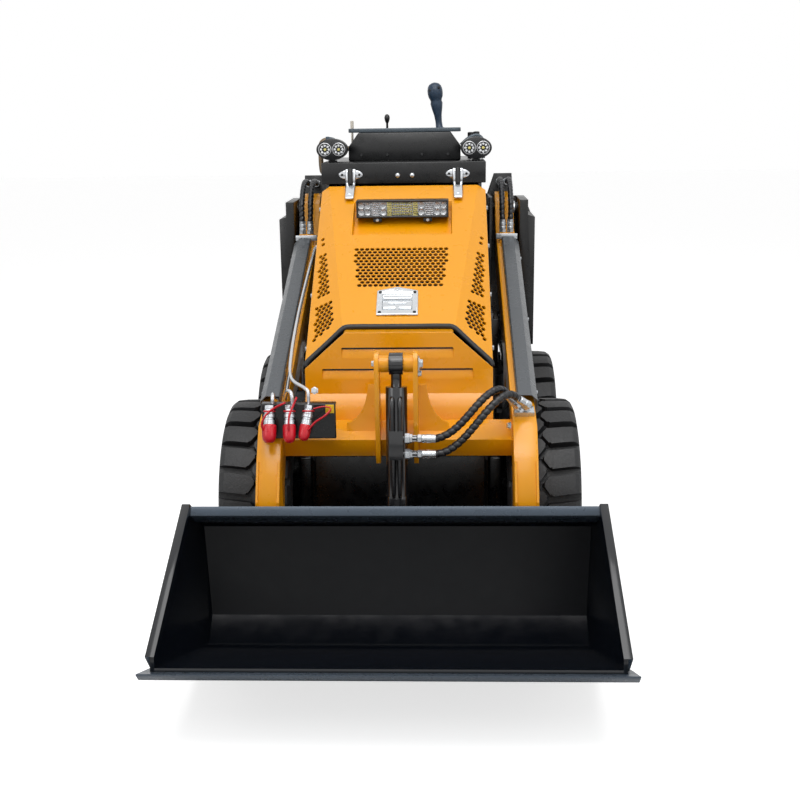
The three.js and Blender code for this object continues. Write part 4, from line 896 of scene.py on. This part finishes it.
# ---- Console and hand controls ----------------------------------------------------------------
# A tapered black console on the deck. A steel-grey bar crosses its top for the hands to rest on;
# a navy-blue joystick drives the machine, and a small knob on a thin lever sets the engine speed.
eased("console", "chassis", satin_black, edge=0.003)
steel_grey = finish("grab_bar_steel_grey", shade(74, 84, 92), 0.4, metal=0.3, relief=0.08)
eased("grab_bar", "chassis", steel_grey, edge=0.002)
grip_navy = finish("grip_navy_rubber", shade(20, 44, 66), 0.42, relief=0.2, grain=500, drift=0.12)
grip_base = at(122, 757, 1380)
grip_top = at(105, 757, 1523)
lean = grip_top - grip_base
grip = turned("joystick_grip", grip_base, lean,
              [(0, 0.019), (0.006, 0.019), (0.010, 0.0125), (0.030, 0.0115), (0.052, 0.0135),
               (0.075, 0.0185), (0.092, 0.0215), (0.100, 0.0195), (0.106, 0.0205), (0.114, 0.0245),
               (0.126, 0.0265), (0.138, 0.0265), (0.150, 0.0235), (0.158, 0.0175), (0.162, 0.009),
               (0.1635, 0.002)], grip_navy, sides=32, smooth=60)
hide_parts("joystick")
kept(grip, "chassis")
for k, (gone, turn) in enumerate(((0.142, 0.6), (0.133, -0.8))):
    side_way = Vector((math.sin(turn), -math.cos(turn), 0.15)).normalized()
    spot = grip_base + lean.normalized() * gone + side_way * 0.0235
    kept(turned(f"joystick_button_{k}", spot, side_way,
                [(0, 0.0055), (0.003, 0.0052), (0.004, 0.004)], black_screw, sides=16),
         "chassis")
bellows = turned("joystick_bellows", at(123, 757, 1376.4), (0, 0, 1),
                 [(0, 0.024), (0.002, 0.026), (0.004, 0.022), (0.006, 0.025), (0.008, 0.020),
                  (0.010, 0.022), (0.012, 0.015)], seal_rubber, sides=28, smooth=60)
kept(bellows, "chassis")
knob = turned("throttle_knob", at(-64, 759, 1376), (0, 0, 1),
              [(0, 0.010), (0.003, 0.010), (0.004, 0.0042), (0.030, 0.0038), (0.034, 0.006),
               (0.042, 0.0088), (0.050, 0.0098), (0.057, 0.0078), (0.061, 0.003)], satin_black,
              sides=24, smooth=60)
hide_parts("throttle_lever")
kept(knob, "chassis")
chrome_lever = finish("lever_chrome", shade(190, 184, 174), 0.2, metal=0.9, relief=0.03)
for name, x, y, foot_z, top_z, ball in (("left_lever", -189, 760, 1281, 1416, 0.006),
                                        ("right_lever_front", 232, 770, 1281, 1372, 0.0115),
                                        ("right_lever_rear", 252, 770, 1281, 1374, 0.0115)):
    tall = (top_z - foot_z) / 1000
    stalk = turned(name, at(x, y, foot_z), (0, 0, 1),
                   [(0, 0.011), (0.005, 0.011), (0.006, 0.0042), (tall - 0.030, 0.0042),
                    (tall - 0.028, ball), (tall - 0.002, ball), (tall, ball * 0.7)],
                   chrome_lever if ball < 0.01 else satin_black, sides=20, smooth=40)
    kept(stalk, "chassis")
for k, x in enumerate((-150, -60, 60, 150)):
    kept(turned(f"console_bolt_{k}", at(x, 641, 1300), (0, -1, 0.1),
                [(0, 0.006), (0.002, 0.006), (0.004, 0.004)], black_screw, sides=16),
         "chassis")


# ---- Work lamps -------------------------------------------------------------------------------
# Two oval die-cast lamps on the deck's front corners, each with two bright round reflectors
# round a yellow LED.
work_lamp_black = finish("work_lamp_black", shade(22, 23, 25), 0.3, relief=0.1)
# A white finish for the facets in each reflector: painted glints.
reflector_glint_white = finish("reflector_facet_painted_glint", shade(236, 238, 240), 0.18, relief=0.1, grain=400)
PETALS = 8
for hand, sign in (("left", 1), ("right", -1)):
    eased(f"work_light_{hand}", "chassis", work_lamp_black, edge=0.003)
    low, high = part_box(f"work_light_{hand}")
    lamp_mid = Vector(((low[0] + high[0]) / 2, low[1], (low[2] + high[2]) / 2 + 0.003))
    for k, spread in enumerate((-0.0235, 0.0235)):
        spot = lamp_mid + Vector((spread, 0, 0))
        kept(turned(f"work_light_bezel_{hand}_{k}", spot + Vector((0, 0.002, 0)), (0, -1, 0),
                    [(0, 0.0225), (0.004, 0.0225), (0.0052, 0.0212), (0.0052, 0.0200),
                     (0.003, 0.0196), (0.001, 0.0180), (-0.003, 0.0125), (-0.006, 0.0065),
                     (-0.007, 0.0015)], reflector_silver, sides=36), "chassis")
        kept(turned(f"work_light_led_{hand}_{k}", spot + Vector((0, 0.0045, 0)), (0, -1, 0),
                    [(0, 0.0072), (0.003, 0.0066), (0.0046, 0.0045), (0.0052, 0.0012)],
                    led_yellow, sides=20), "chassis")
        # Small white facets round each LED, painted glints of the reflector.
        for petal in range(PETALS):
            swing = 2 * math.pi * petal / PETALS
            place_at = spot + Vector((0.0132 * math.cos(swing), 0.0005, 0.0132 * math.sin(swing)))
            kept(turned(f"work_light_facet_{hand}_{k}_{petal}", place_at, (0, -1, 0),
                        [(0, 0.0046), (0.0012, 0.0036), (0.0016, 0.0008)], reflector_glint_white, sides=8,
                        smooth=10), "chassis")
    for fin in range(6):
        x = lamp_mid[0] - 0.035 + fin * 0.014
        kept(slab(f"work_light_fin_{hand}_{fin}", (x - 0.0015, high[1] - 0.004, low[2] + 0.022),
                  (x + 0.0015, high[1] + 0.008, high[2] - 0.016), work_lamp_black, edge=0.0006),
             "chassis")


# ---- Grab hoop --------------------------------------------------------------------------------
# A bent steel hoop over the right-hand lamp with a dark padded sleeve on its top run, and a
# thinner bent rail behind the left-hand lamp.
hoop_line = [(-194.3, 700, 1322), (-206, 700, 1322), (-250, 700, 1346), (-278, 700, 1352),
             (-293, 700, 1342), (-296, 700, 1320), (-296, 700, 1262), (-292, 700, 1242),
             (-282, 700, 1236), (-276.3, 700, 1236)]
hoop_bronze = finish("hoop_bronze_chrome", shade(120, 104, 84), 0.3, metal=0.7, relief=0.05)
hoop = swept("grab_hoop_tube", smooth_route([at(*p) for p in hoop_line], 0.004),
             lambda gone, angle: 0.0088, 16, hoop_bronze)
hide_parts("grab_hoop")
kept(hoop, "chassis")
sleeve_foam = finish("sleeve_foam", shade(58, 72, 84), 0.7, relief=0.5, grain=700, drift=0.15)
sleeve = swept("grab_hoop_sleeve",
               smooth_route([at(-212, 700, 1325.5), at(-230, 700, 1336), at(-250, 700, 1346),
                             at(-266, 700, 1350.5), at(-278, 700, 1351.5)], 0.003),
               lambda gone, angle: 0.0125 + 0.0004 * math.sin(gone * 2600), 18, sleeve_foam)
kept(sleeve, "chassis")
kept(swept("deck_rail", smooth_route(
    [at(196, 690, 1330), at(222, 690, 1352), at(250, 690, 1362), at(268, 690, 1352),
     at(274, 690, 1330), at(274, 690, 1284)], 0.004), lambda gone, angle: 0.0062, 14,
    steel_grey), "chassis")


# ---- Thigh pad and platform -------------------------------------------------------------------
# The operator stands on a folding chequer-plate step and leans on a vinyl pad filled with foam.
pad_skin = finish("pad_vinyl_skin", shade(30, 31, 34), 0.5, relief=0.45, grain=900, drift=0.12)
low, high = (Vector(corner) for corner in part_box("thigh_pad"))
thigh_pad = slab("thigh_pad_cushion", low + Vector((0.001, 0, 0.001)),
                 high - Vector((0.001, 0.004, 0.001)), pad_skin, edge=0)
choose(thigh_pad)
bpy.ops.object.mode_set(mode="EDIT")
bpy.ops.mesh.select_all(action="SELECT")
bpy.ops.mesh.subdivide(number_cuts=22)
bpy.ops.object.mode_set(mode="OBJECT")
pad_middle = (low + high) / 2
for corner in thigh_pad.data.vertices:
    u = (corner.co.x - pad_middle.x) / ((high.x - low.x) / 2)
    v = (corner.co.z - pad_middle.z) / ((high.z - low.z) / 2)
    back = (corner.co.y - low.y) / (high.y - low.y)
    crown = max(0, 1 - u * u) ** 0.4 * max(0, 1 - v * v) ** 0.4
    channel = 1 - 0.22 * math.exp(-((abs(u) - 0.34) * 26) ** 2)
    corner.co.y = low.y + (corner.co.y - low.y) * (0.45 + 0.55 * crown * channel)
    pull = 1 - 0.012 * back * (1 - abs(v)) - 0.006
    corner.co.x = pad_middle.x + (corner.co.x - pad_middle.x) * pull
settle(thigh_pad, "thigh_pad_cushion", pad_skin, smooth=80)
kept(thigh_pad, "chassis")
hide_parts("thigh_pad")
tread_plate = finish("tread_plate_black", shade(26, 28, 30), 0.45, metal=0.2, relief=0.2)
eased("platform", "platform", tread_plate, edge=0.0015)
marks = []
bpy.ops.object.select_all(action="DESELECT")
bpy.ops.mesh.primitive_uv_sphere_add(segments=8, ring_count=4, radius=1)
lozenge = bpy.context.active_object
lozenge.scale = (0.0105, 0.0028, 0.0014)
bpy.ops.object.transform_apply(location=True, rotation=True, scale=True)
mark_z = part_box("platform")[1][2] - 0.0002
for column in range(14):
    for row in range(1, 10):
        mark = copied(lozenge, "mark")
        spot = Vector((-0.205 + column * 0.0315, 0.918 + row * 0.0295 - 0.02, mark_z))
        mark.data.transform(Matrix.Translation(spot) @ Matrix.Rotation(
            math.radians(45 if (column + row) % 2 else -45), 4, "Z"))
        marks.append(mark)
bpy.data.objects.remove(lozenge)
chequers = joined(marks, "platform_chequers")
settle(chequers, "platform_chequers", tread_plate, smooth=60)
kept(chequers, "platform")


# ---- Arm towers and lift cylinders ------------------------------------------------------------
# Welded box towers behind the rear wheels carry the arms' pins, and a painted cylinder with a
# hard-chromed rod lifts each arm from the tower's foot.
for hand in ("left", "right"):
    eased(f"tower_{hand}", "chassis", satin_black, edge=0.0018)
cylinder_black = finish("cylinder_gloss_black", shade(20, 21, 24), 0.2, coat=0.5, drift=0.1)
hard_chrome = finish("hard_chrome", shade(216, 219, 223), 0.07, metal=1.0, relief=0.015,
                     gloss_drift=0.03)
for hand, sign in (("left", 1), ("right", -1)):
    eased(f"lift_barrel_{hand}", f"lift_barrel_{hand}", cylinder_black, edge=0.0012)
    eased(f"lift_rod_{hand}", f"lift_rod_{hand}", hard_chrome, edge=0.0012)
    for k, (body, x, y, z) in enumerate((("chassis", 394, 930, 1090), ("arms", 392.5, 180, 605))):
        kept(turned(f"arm_pin_head_{hand}_{k}", at(sign * x, y, z), (sign, 0, 0),
                    [(0, 0.024), (0.002, 0.026), (0.006, 0.026), (0.008, 0.024),
                     (0.0084, 0.012), (0.0064, 0.010)], zinc_fitting, sides=36),
             body)


# ---- Lift arms --------------------------------------------------------------------------------
# Bent box beams in yellow, each plate's edges eased, with a narrow grey hose cover along the
# top. A cross tube joins them, and three zinc hard lines run down to the couplings.
for hand in ("left", "right"):
    eased(f"arm_{hand}", "arms", machine_yellow, edge=0.0025)
for hand, sign in (("left", 1), ("right", -1)):
    for k, x in enumerate((329, 388)):
        strip = swept(f"leg_edge_{hand}_{k}",
                      [at(sign * x, *p) for p in ((-361, 505), (-387, 452), (-411.5, 402),
                                                  (-411.5, 374), (-396, 342), (-380, 110))],
                      lambda gone, angle: 0.0048, 4, machine_yellow)
        for face in strip.data.polygons:
            face.use_smooth = False
        rounded_over(strip, 0.0008, segments=1)
        kept(strip, "arms")
cover_grey = finish("hose_cover_grey", shade(84, 88, 92), 0.3, drift=0.03, relief=0.03)
COVER_MIDDLE, COVER_TRIM = 0.345, 0.024
for hand in ("left", "right"):
    cover = eased(f"hose_cover_{hand}", "arms", cover_grey, edge=0.0008, smooth=14)
    for corner in cover.data.vertices:
        if abs(corner.co.x) < COVER_MIDDLE:
            corner.co.x += math.copysign(COVER_TRIM, corner.co.x)
eased("cross_tube", "arms", machine_yellow, edge=0.002)
eased("hose_block", "arms", zinc_fitting, edge=0.001)
ARM_SLOPE = math.atan2(357, 900)
COVER_FOOT, COVER_TOP = -195, 700
weld_yellow = finish("weld_bead_yellow", shade(228, 148, 18), 0.34, coat=0.2, relief=0.5,
                     grain=160)
WELD_RADIUS, WELD_RIPPLE = 0.0028, 0.22


def weld(name, x, route):
    """A ripple of weld on the arms, along a joint square across the machine."""
    kept(swept(name, smooth_route([at(x, y, z) for y, z in route], 0.0016),
               lambda gone, angle: WELD_RADIUS * (1 + WELD_RIPPLE * math.sin(gone * 2100)),
               8, weld_yellow), "arms")


for sign in (1, -1):
    tube_end = sign * 323.5
    weld(f"cross_tube_weld_{sign + 1}_top", tube_end, ((-296, 550), (-250, 568), (-212, 583)))
    weld(f"cross_tube_weld_{sign + 1}_front", tube_end, ((-298, 548), (-287, 520), (-277, 497)))
    for side in (46, 61):
        weld(f"clevis_weld_{sign + 1}_{side}", sign * side,
             ((-298.5, 549), (-288, 523), (-277, 496)))
kept(slab("pin_keeper", at(60.3, -332, 752), at(64.3, -300, 792), zinc_fitting, edge=0.0015),
     "arms")
for k, (x, y, z, size) in enumerate(((64.2, -316, 772, 0.0125), (60.4, -322, 746, 0.008))):
    kept(turned(f"pin_keeper_bolt_{k}", at(x, y, z), (1, 0, 0),
                [(0, size * 1.3), (0.002, size * 1.3), (0.0024, size), (0.009, size),
                 (0.0100, size * 0.85)], zinc_fitting, sides=6, smooth=20), "arms")
kept(turned("pin_end_bolt", at(-60.4, -314, 772), (-1, 0, 0),
            [(0, 0.011), (0.002, 0.011), (0.0024, 0.0085), (0.007, 0.0085), (0.008, 0.007)],
            zinc_fitting, sides=6, smooth=20), "arms")
for hand, sign in (("left", 1), ("right", -1)):
    for k, along in enumerate((0.08, 0.5, 0.92)):
        y = COVER_FOOT + along * (COVER_TOP - COVER_FOOT)
        z = 980 + math.tan(ARM_SLOPE) * (y - COVER_TOP)
        kept(turned(f"cover_bolt_{hand}_{k}", at(sign * 401, y, z - 12), (sign, 0, 0),
                    [(0, 0.0075), (0.0012, 0.0075), (0.0016, 0.0055), (0.0052, 0.0055),
                     (0.006, 0.0046)], zinc_fitting, sides=6, smooth=20), "arms")
    kept(slab(f"hose_clamp_{hand}", at(sign * 358.5 - 38, 697.5, 1000),
              at(sign * 358.5 + 38, 703.5, 1020), zinc_fitting, edge=0.0015),
         "arms")
tube_silver = finish("hard_line_zinc", shade(206, 209, 213), 0.2, metal=0.85, relief=0.03)
for name, route in (
        ("hard_line_inner", [(-317, 600, 985), (-317, 300, 905), (-317, 60, 830), (-316, -100, 765),
                             (-312, -180, 728), (-303, -230, 716), (-285, -280, 712),
                             (-254, -322, 706), (-244.5, -332, 700), (-243, -336, 686),
                             (-243, -336, 660)]),
        ("hard_line_middle", [(-331, -60, 690), (-330, -120, 667), (-327, -200, 644),
                              (-320, -250, 662), (-309, -290, 688), (-298, -318, 697),
                              (-291, -331, 694), (-288.5, -336, 682), (-288.5, -336, 660)]),
        ("hard_line_outer", [(-352, -60, 690), (-352, -120, 667), (-350, -205, 643),
                             (-347, -270, 662), (-344, -318, 688), (-343, -333, 682),
                             (-343, -336, 660)])):
    kept(swept(name, smooth_route([at(*p) for p in route], 0.004),
               lambda gone, angle: 0.0052, 14, tube_silver), "arms")


# ---- Auxiliary couplings ----------------------------------------------------------------------
# A black bracket on the right arm carries three flat-faced couplings. Each has a zinc body, a
# soft red dust cap over its end and a red retaining strap looped back round its neck.
cap_red = finish("dust_cap_red", shade(206, 14, 36), 0.32, coat=0.15, drift=0.1, relief=0.15)
tag_yellow = finish("line_tag_yellow", shade(236, 190, 30), 0.4, relief=0.2)
bracket = slab("coupler_plate", at(-374, -342, 566), at(-168, -336, 666), satin_black, edge=0)
rounded_over(bracket, 0.006, segments=3, angle=80)
settle(bracket, "coupler_plate", satin_black)
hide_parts("coupler_bracket")
kept(bracket, "arms")
kept(slab("coupler_top_flange", at(-374, -341, 662), at(-168, -316, 666.5), satin_black,
          edge=0.001), "arms")
for k, x in enumerate((-365, -339)):
    kept(slab(f"coupler_lug_{k}", at(x - 7, -337, 574), at(x + 7, -311, 585), satin_black,
              edge=0.002), "arms")
STRAP_ROUTES = (
    (((-0.014, 0.006, 0), (-0.017, 0.002, 0.018), (-0.008, 0.004, 0.040)),
     ((0.012, -0.014, 0.004), (0.040, -0.010, 0.018), (0.046, -0.004, 0.019))),
    (((0.001, 0, -0.010), (0.001, -0.002, 0.016), (0.003, 0.002, 0.040)),
     ((0.012, -0.012, 0.012), (0.020, -0.006, 0.030), (0.021, -0.002, 0.034))),
    (((0.010, 0.002, 0), (0.030, 0.004, 0.022), (0.058, 0.010, 0.040)),
     ((0.062, -0.012, 0.004), (0.044, -0.012, 0.010), (0.014, -0.014, 0.004))))
for k, (x, width, tall) in enumerate(((-352, 20, 1.0), (-296, 18, 1.0), (-242, 16, 0.9))):
    crown = at(x, -344, 652)
    tilt = Vector((0.02 if k != 2 else -0.16, -0.42, -0.9))
    hang = tilt.normalized()
    neck = turned(f"coupling_body_{k}", crown, tilt,
                  [(0, 0.0105), (0.002, 0.0135), (0.014, 0.0135), (0.016, 0.0155),
                   (0.024, 0.0155), (0.0255, 0.0135), (0.030, 0.0135), (0.032, 0.0150),
                   (0.046, 0.0150), (0.048, 0.013)], zinc_fitting, sides=28)
    kept(neck, "arms")
    kept(turned(f"coupling_nut_{k}", crown - hang * 0.010, tilt,
                [(0, 0.0115), (0.001, 0.013), (0.010, 0.013), (0.011, 0.0115)], zinc_fitting,
                sides=6, smooth=20), "arms")
    wide = width / 1000
    cap = turned(f"dust_cap_{k}", crown + hang * 0.044, tilt,
                 [(0, wide * 0.86), (0.002, wide * 0.98), (0.006, wide), (0.018 * tall, wide),
                  (0.032 * tall, wide * 0.97), (0.042 * tall, wide * 0.86),
                  (0.049 * tall, wide * 0.6), (0.051 * tall, wide * 0.25)], cap_red, sides=32,
                 smooth=60)
    kept(cap, "arms")
    collar_at = crown + hang * 0.006
    ring = [collar_at + Vector((0.0152 * math.cos(a), -0.0140 * math.sin(a), 0.004 * math.sin(a)))
            for a in (step * math.pi / 12 for step in range(25))]
    kept(swept(f"strap_collar_{k}", ring, lambda gone, angle: 0.0023, 8, cap_red),
         "arms")
    low_end = crown + hang * 0.056 + Vector((0, -wide * 0.98, 0))
    from_cap, to_neck = STRAP_ROUTES[k]
    strap_route = ([low_end + Vector(p) for p in from_cap] + [crown + Vector(p) for p in to_neck])
    kept(swept(f"cap_strap_{k}", smooth_route(strap_route, 0.003),
               lambda gone, angle: 0.0030 if abs(math.cos(angle)) > 0.5 else 0.0020, 10,
               cap_red), "arms")
kept(slab("line_tag", at(-196, -345.5, 640), at(-172, -342.3, 664), tag_yellow, edge=0.001),
     "arms")
for k, (x, y, z, direction, size) in enumerate(((-226, -326, 700, (0, -1, 0.3), 0.008),
                                                (316, -300, 590, (-1, -0.3, 0.2), 0.008))):
    kept(turned(f"arm_bolt_{k}", at(x, y, z), direction,
                [(0, size * 1.35), (0.002, size * 1.35), (0.0024, size), (0.008, size),
                 (0.009, size * 0.85)], zinc_fitting, sides=6, smooth=20), "arms")


# ---- Tilt cylinder ----------------------------------------------------------------------------
# A gloss black cylinder that hangs from the cross tube's clevis. Two steel pipes run down its
# front to the port block, and its chromed rod pins to the attachment plate.
eased("tilt_barrel", "tilt_barrel", cylinder_black, edge=0.0015)
eased("tilt_rod", "tilt_rod", hard_chrome, edge=0.0012)
TOP_PIN = Vector((-312, 772))
ROD_PIN = Vector((-376.3, 212.8))
barrel_down = (ROD_PIN - TOP_PIN).normalized()
barrel_front = Vector((barrel_down.y, -barrel_down.x))


def on_barrel(x, down, forward):
    """A point so far down the tilt cylinder from its top pin, and so far forward of its axis."""
    spot = TOP_PIN + barrel_down * down + barrel_front * forward
    return at(x, spot.x, spot.y)


for x in (-11, 11):
    for name, pipe_x, radius, stops in (
            ("tilt_pipe", x, 0.0062, ((92, 27), (97, 35), (108, 39), (140, 40), (190, 40))),
            ("tilt_pipe_low", x * 0.8, 0.0055,
             ((255, 40), (300, 40), (350, 39), (364, 35), (370, 28)))):
        kept(swept(f"{name}_{x + 11}",
                   smooth_route([on_barrel(pipe_x, *stop) for stop in stops], 0.004),
                   lambda gone, angle, wide=radius: wide, 14, cylinder_black),
             "tilt_barrel")


# ---- Attachment plate -------------------------------------------------------------------------
# The quick-attach frame between the arms and the bucket, in satin black.
eased("attachment_plate", "bucket", satin_black, edge=0.0018)


# ---- Bucket -----------------------------------------------------------------------------------
# A welded plate bucket in gloss blue-black paint. A square bar stiffens its top, flat bars edge
# its cheeks, and a hard steel cutting edge is welded across its floor's lip.
bucket_gloss = finish("bucket_gloss_black", shade(7, 11, 18), 0.17, coat=0.25, drift=0.15,
                      relief=0.015, grain=60, patches=4, gloss_drift=0.03)
# A lighter blue-grey: the cutting edge's own steel tone, and on the top bar and the cheek bars'
# edges a painted sheen where light catches them.
bucket_edge_steel_and_sheen = finish("bucket_edge_steel_and_painted_sheen", shade(62, 74, 87), 0.3, metal=0.3, coat=0.2,
                          relief=0.05, drift=0.12)
bucket_shell = eased("bucket_shell", "bucket", bucket_gloss, edge=0.0016)
bucket_shell.data.materials.append(bucket_edge_steel_and_sheen)
SIDE_PLATE_X, RAIL_Z, RAIL_Y = 0.5405, 0.405, at(0, -440, 0).y
# The top bar's forward-facing faces and the cheek bars' edge faces take the lighter blue-grey as
# painted sheen.
for face in bucket_shell.data.polygons:
    sheen_on_cheek_edge = abs(face.center.x) > SIDE_PLATE_X and abs(face.normal.x) < 0.9
    sheen_on_top_bar = face.center.z > RAIL_Z and face.center.y < RAIL_Y and face.normal.y < -0.2
    face.material_index = 1 if sheen_on_cheek_edge or sheen_on_top_bar else 0
eased("cutting_edge", "bucket", bucket_edge_steel_and_sheen, edge=0.0022)


# ---- Floor and light -----------------------------------------------------------------------------
# A plain white studio floor that keeps its shadow, an even white surround, a large soft lamp
# overhead with a smaller one in front of it, and two weaker ones at the sides.
bpy.ops.object.select_all(action="DESELECT")
bpy.ops.mesh.primitive_plane_add(size=40, location=(0, 4, 0))
studio_floor = bpy.context.active_object
studio_floor.name = "studio_floor"
floor_white = bpy.data.materials.new("studio_floor_white")
floor_white.use_nodes = True
floor_nodes, floor_links = floor_white.node_tree.nodes, floor_white.node_tree.links
floor_shader = floor_nodes["Principled BSDF"]
floor_shader.inputs["Base Color"].default_value = (0.8, 0.8, 0.8, 1)
floor_shader.inputs["Roughness"].default_value = 0.9
floor_shader.inputs["Emission Color"].default_value = (1, 1, 1, 1)
seen_by = floor_nodes.new("ShaderNodeLightPath")
seen_at_all = floor_nodes.new("ShaderNodeMath")
seen_at_all.operation = "MULTIPLY"
seen_at_all.inputs[1].default_value = 0.7
floor_links.new(seen_by.outputs["Is Camera Ray"], seen_at_all.inputs[0])
floor_links.new(seen_at_all.outputs[0], floor_shader.inputs["Emission Strength"])
studio_floor.data.materials.append(floor_white)

world = bpy.data.worlds.new("studio_world")
bpy.context.scene.world = world
world.use_nodes = True
world_nodes, world_links = world.node_tree.nodes, world.node_tree.links
backdrop = world_nodes["Background"]
backdrop.inputs["Color"].default_value = (1, 1, 1, 1)
rays = world_nodes.new("ShaderNodeLightPath")
camera_or_gloss = world_nodes.new("ShaderNodeMath")
camera_or_gloss.operation = "MAXIMUM"
any_white = world_nodes.new("ShaderNodeMath")
any_white.operation = "MAXIMUM"
strength = world_nodes.new("ShaderNodeMapRange")
strength.inputs["To Min"].default_value = 0.28
strength.inputs["To Max"].default_value = 1.0
world_links.new(rays.outputs["Is Camera Ray"], camera_or_gloss.inputs[0])
world_links.new(rays.outputs["Is Glossy Ray"], camera_or_gloss.inputs[1])
world_links.new(camera_or_gloss.outputs[0], any_white.inputs[0])
world_links.new(rays.outputs["Is Transmission Ray"], any_white.inputs[1])
world_links.new(any_white.outputs[0], strength.inputs["Value"])
world_links.new(strength.outputs["Result"], backdrop.inputs["Strength"])


def soft_lamp(name, place, aim, size, watts):
    """A square soft lamp at a place, aimed at a point."""
    data = bpy.data.lights.new(name, "AREA")
    data.shape = "SQUARE"
    data.size = size
    data.energy = watts
    lamp = bpy.data.objects.new(name, data)
    bpy.context.scene.collection.objects.link(lamp)
    lamp.matrix_world = Matrix.LocRotScale(
        Vector(place), (Vector(aim) - Vector(place)).to_track_quat("-Z", "Y"), None)


soft_lamp("overhead_lamp", (0.1, -1.5, 4.4), (0, -0.2, 0.6), 3.6, 108)
soft_lamp("front_overhead_lamp", (0, -3.3, 4.0), (0, -0.6, 0.1), 2.8, 42)
soft_lamp("left_front_lamp", (-3.4, -3.2, 2.4), (0, -0.2, 0.7), 1.8, 20)
soft_lamp("right_front_lamp", (3.4, -3.0, 2.2), (0, -0.2, 0.7), 1.8, 16)
bpy.context.scene.view_settings.view_transform = "Standard"
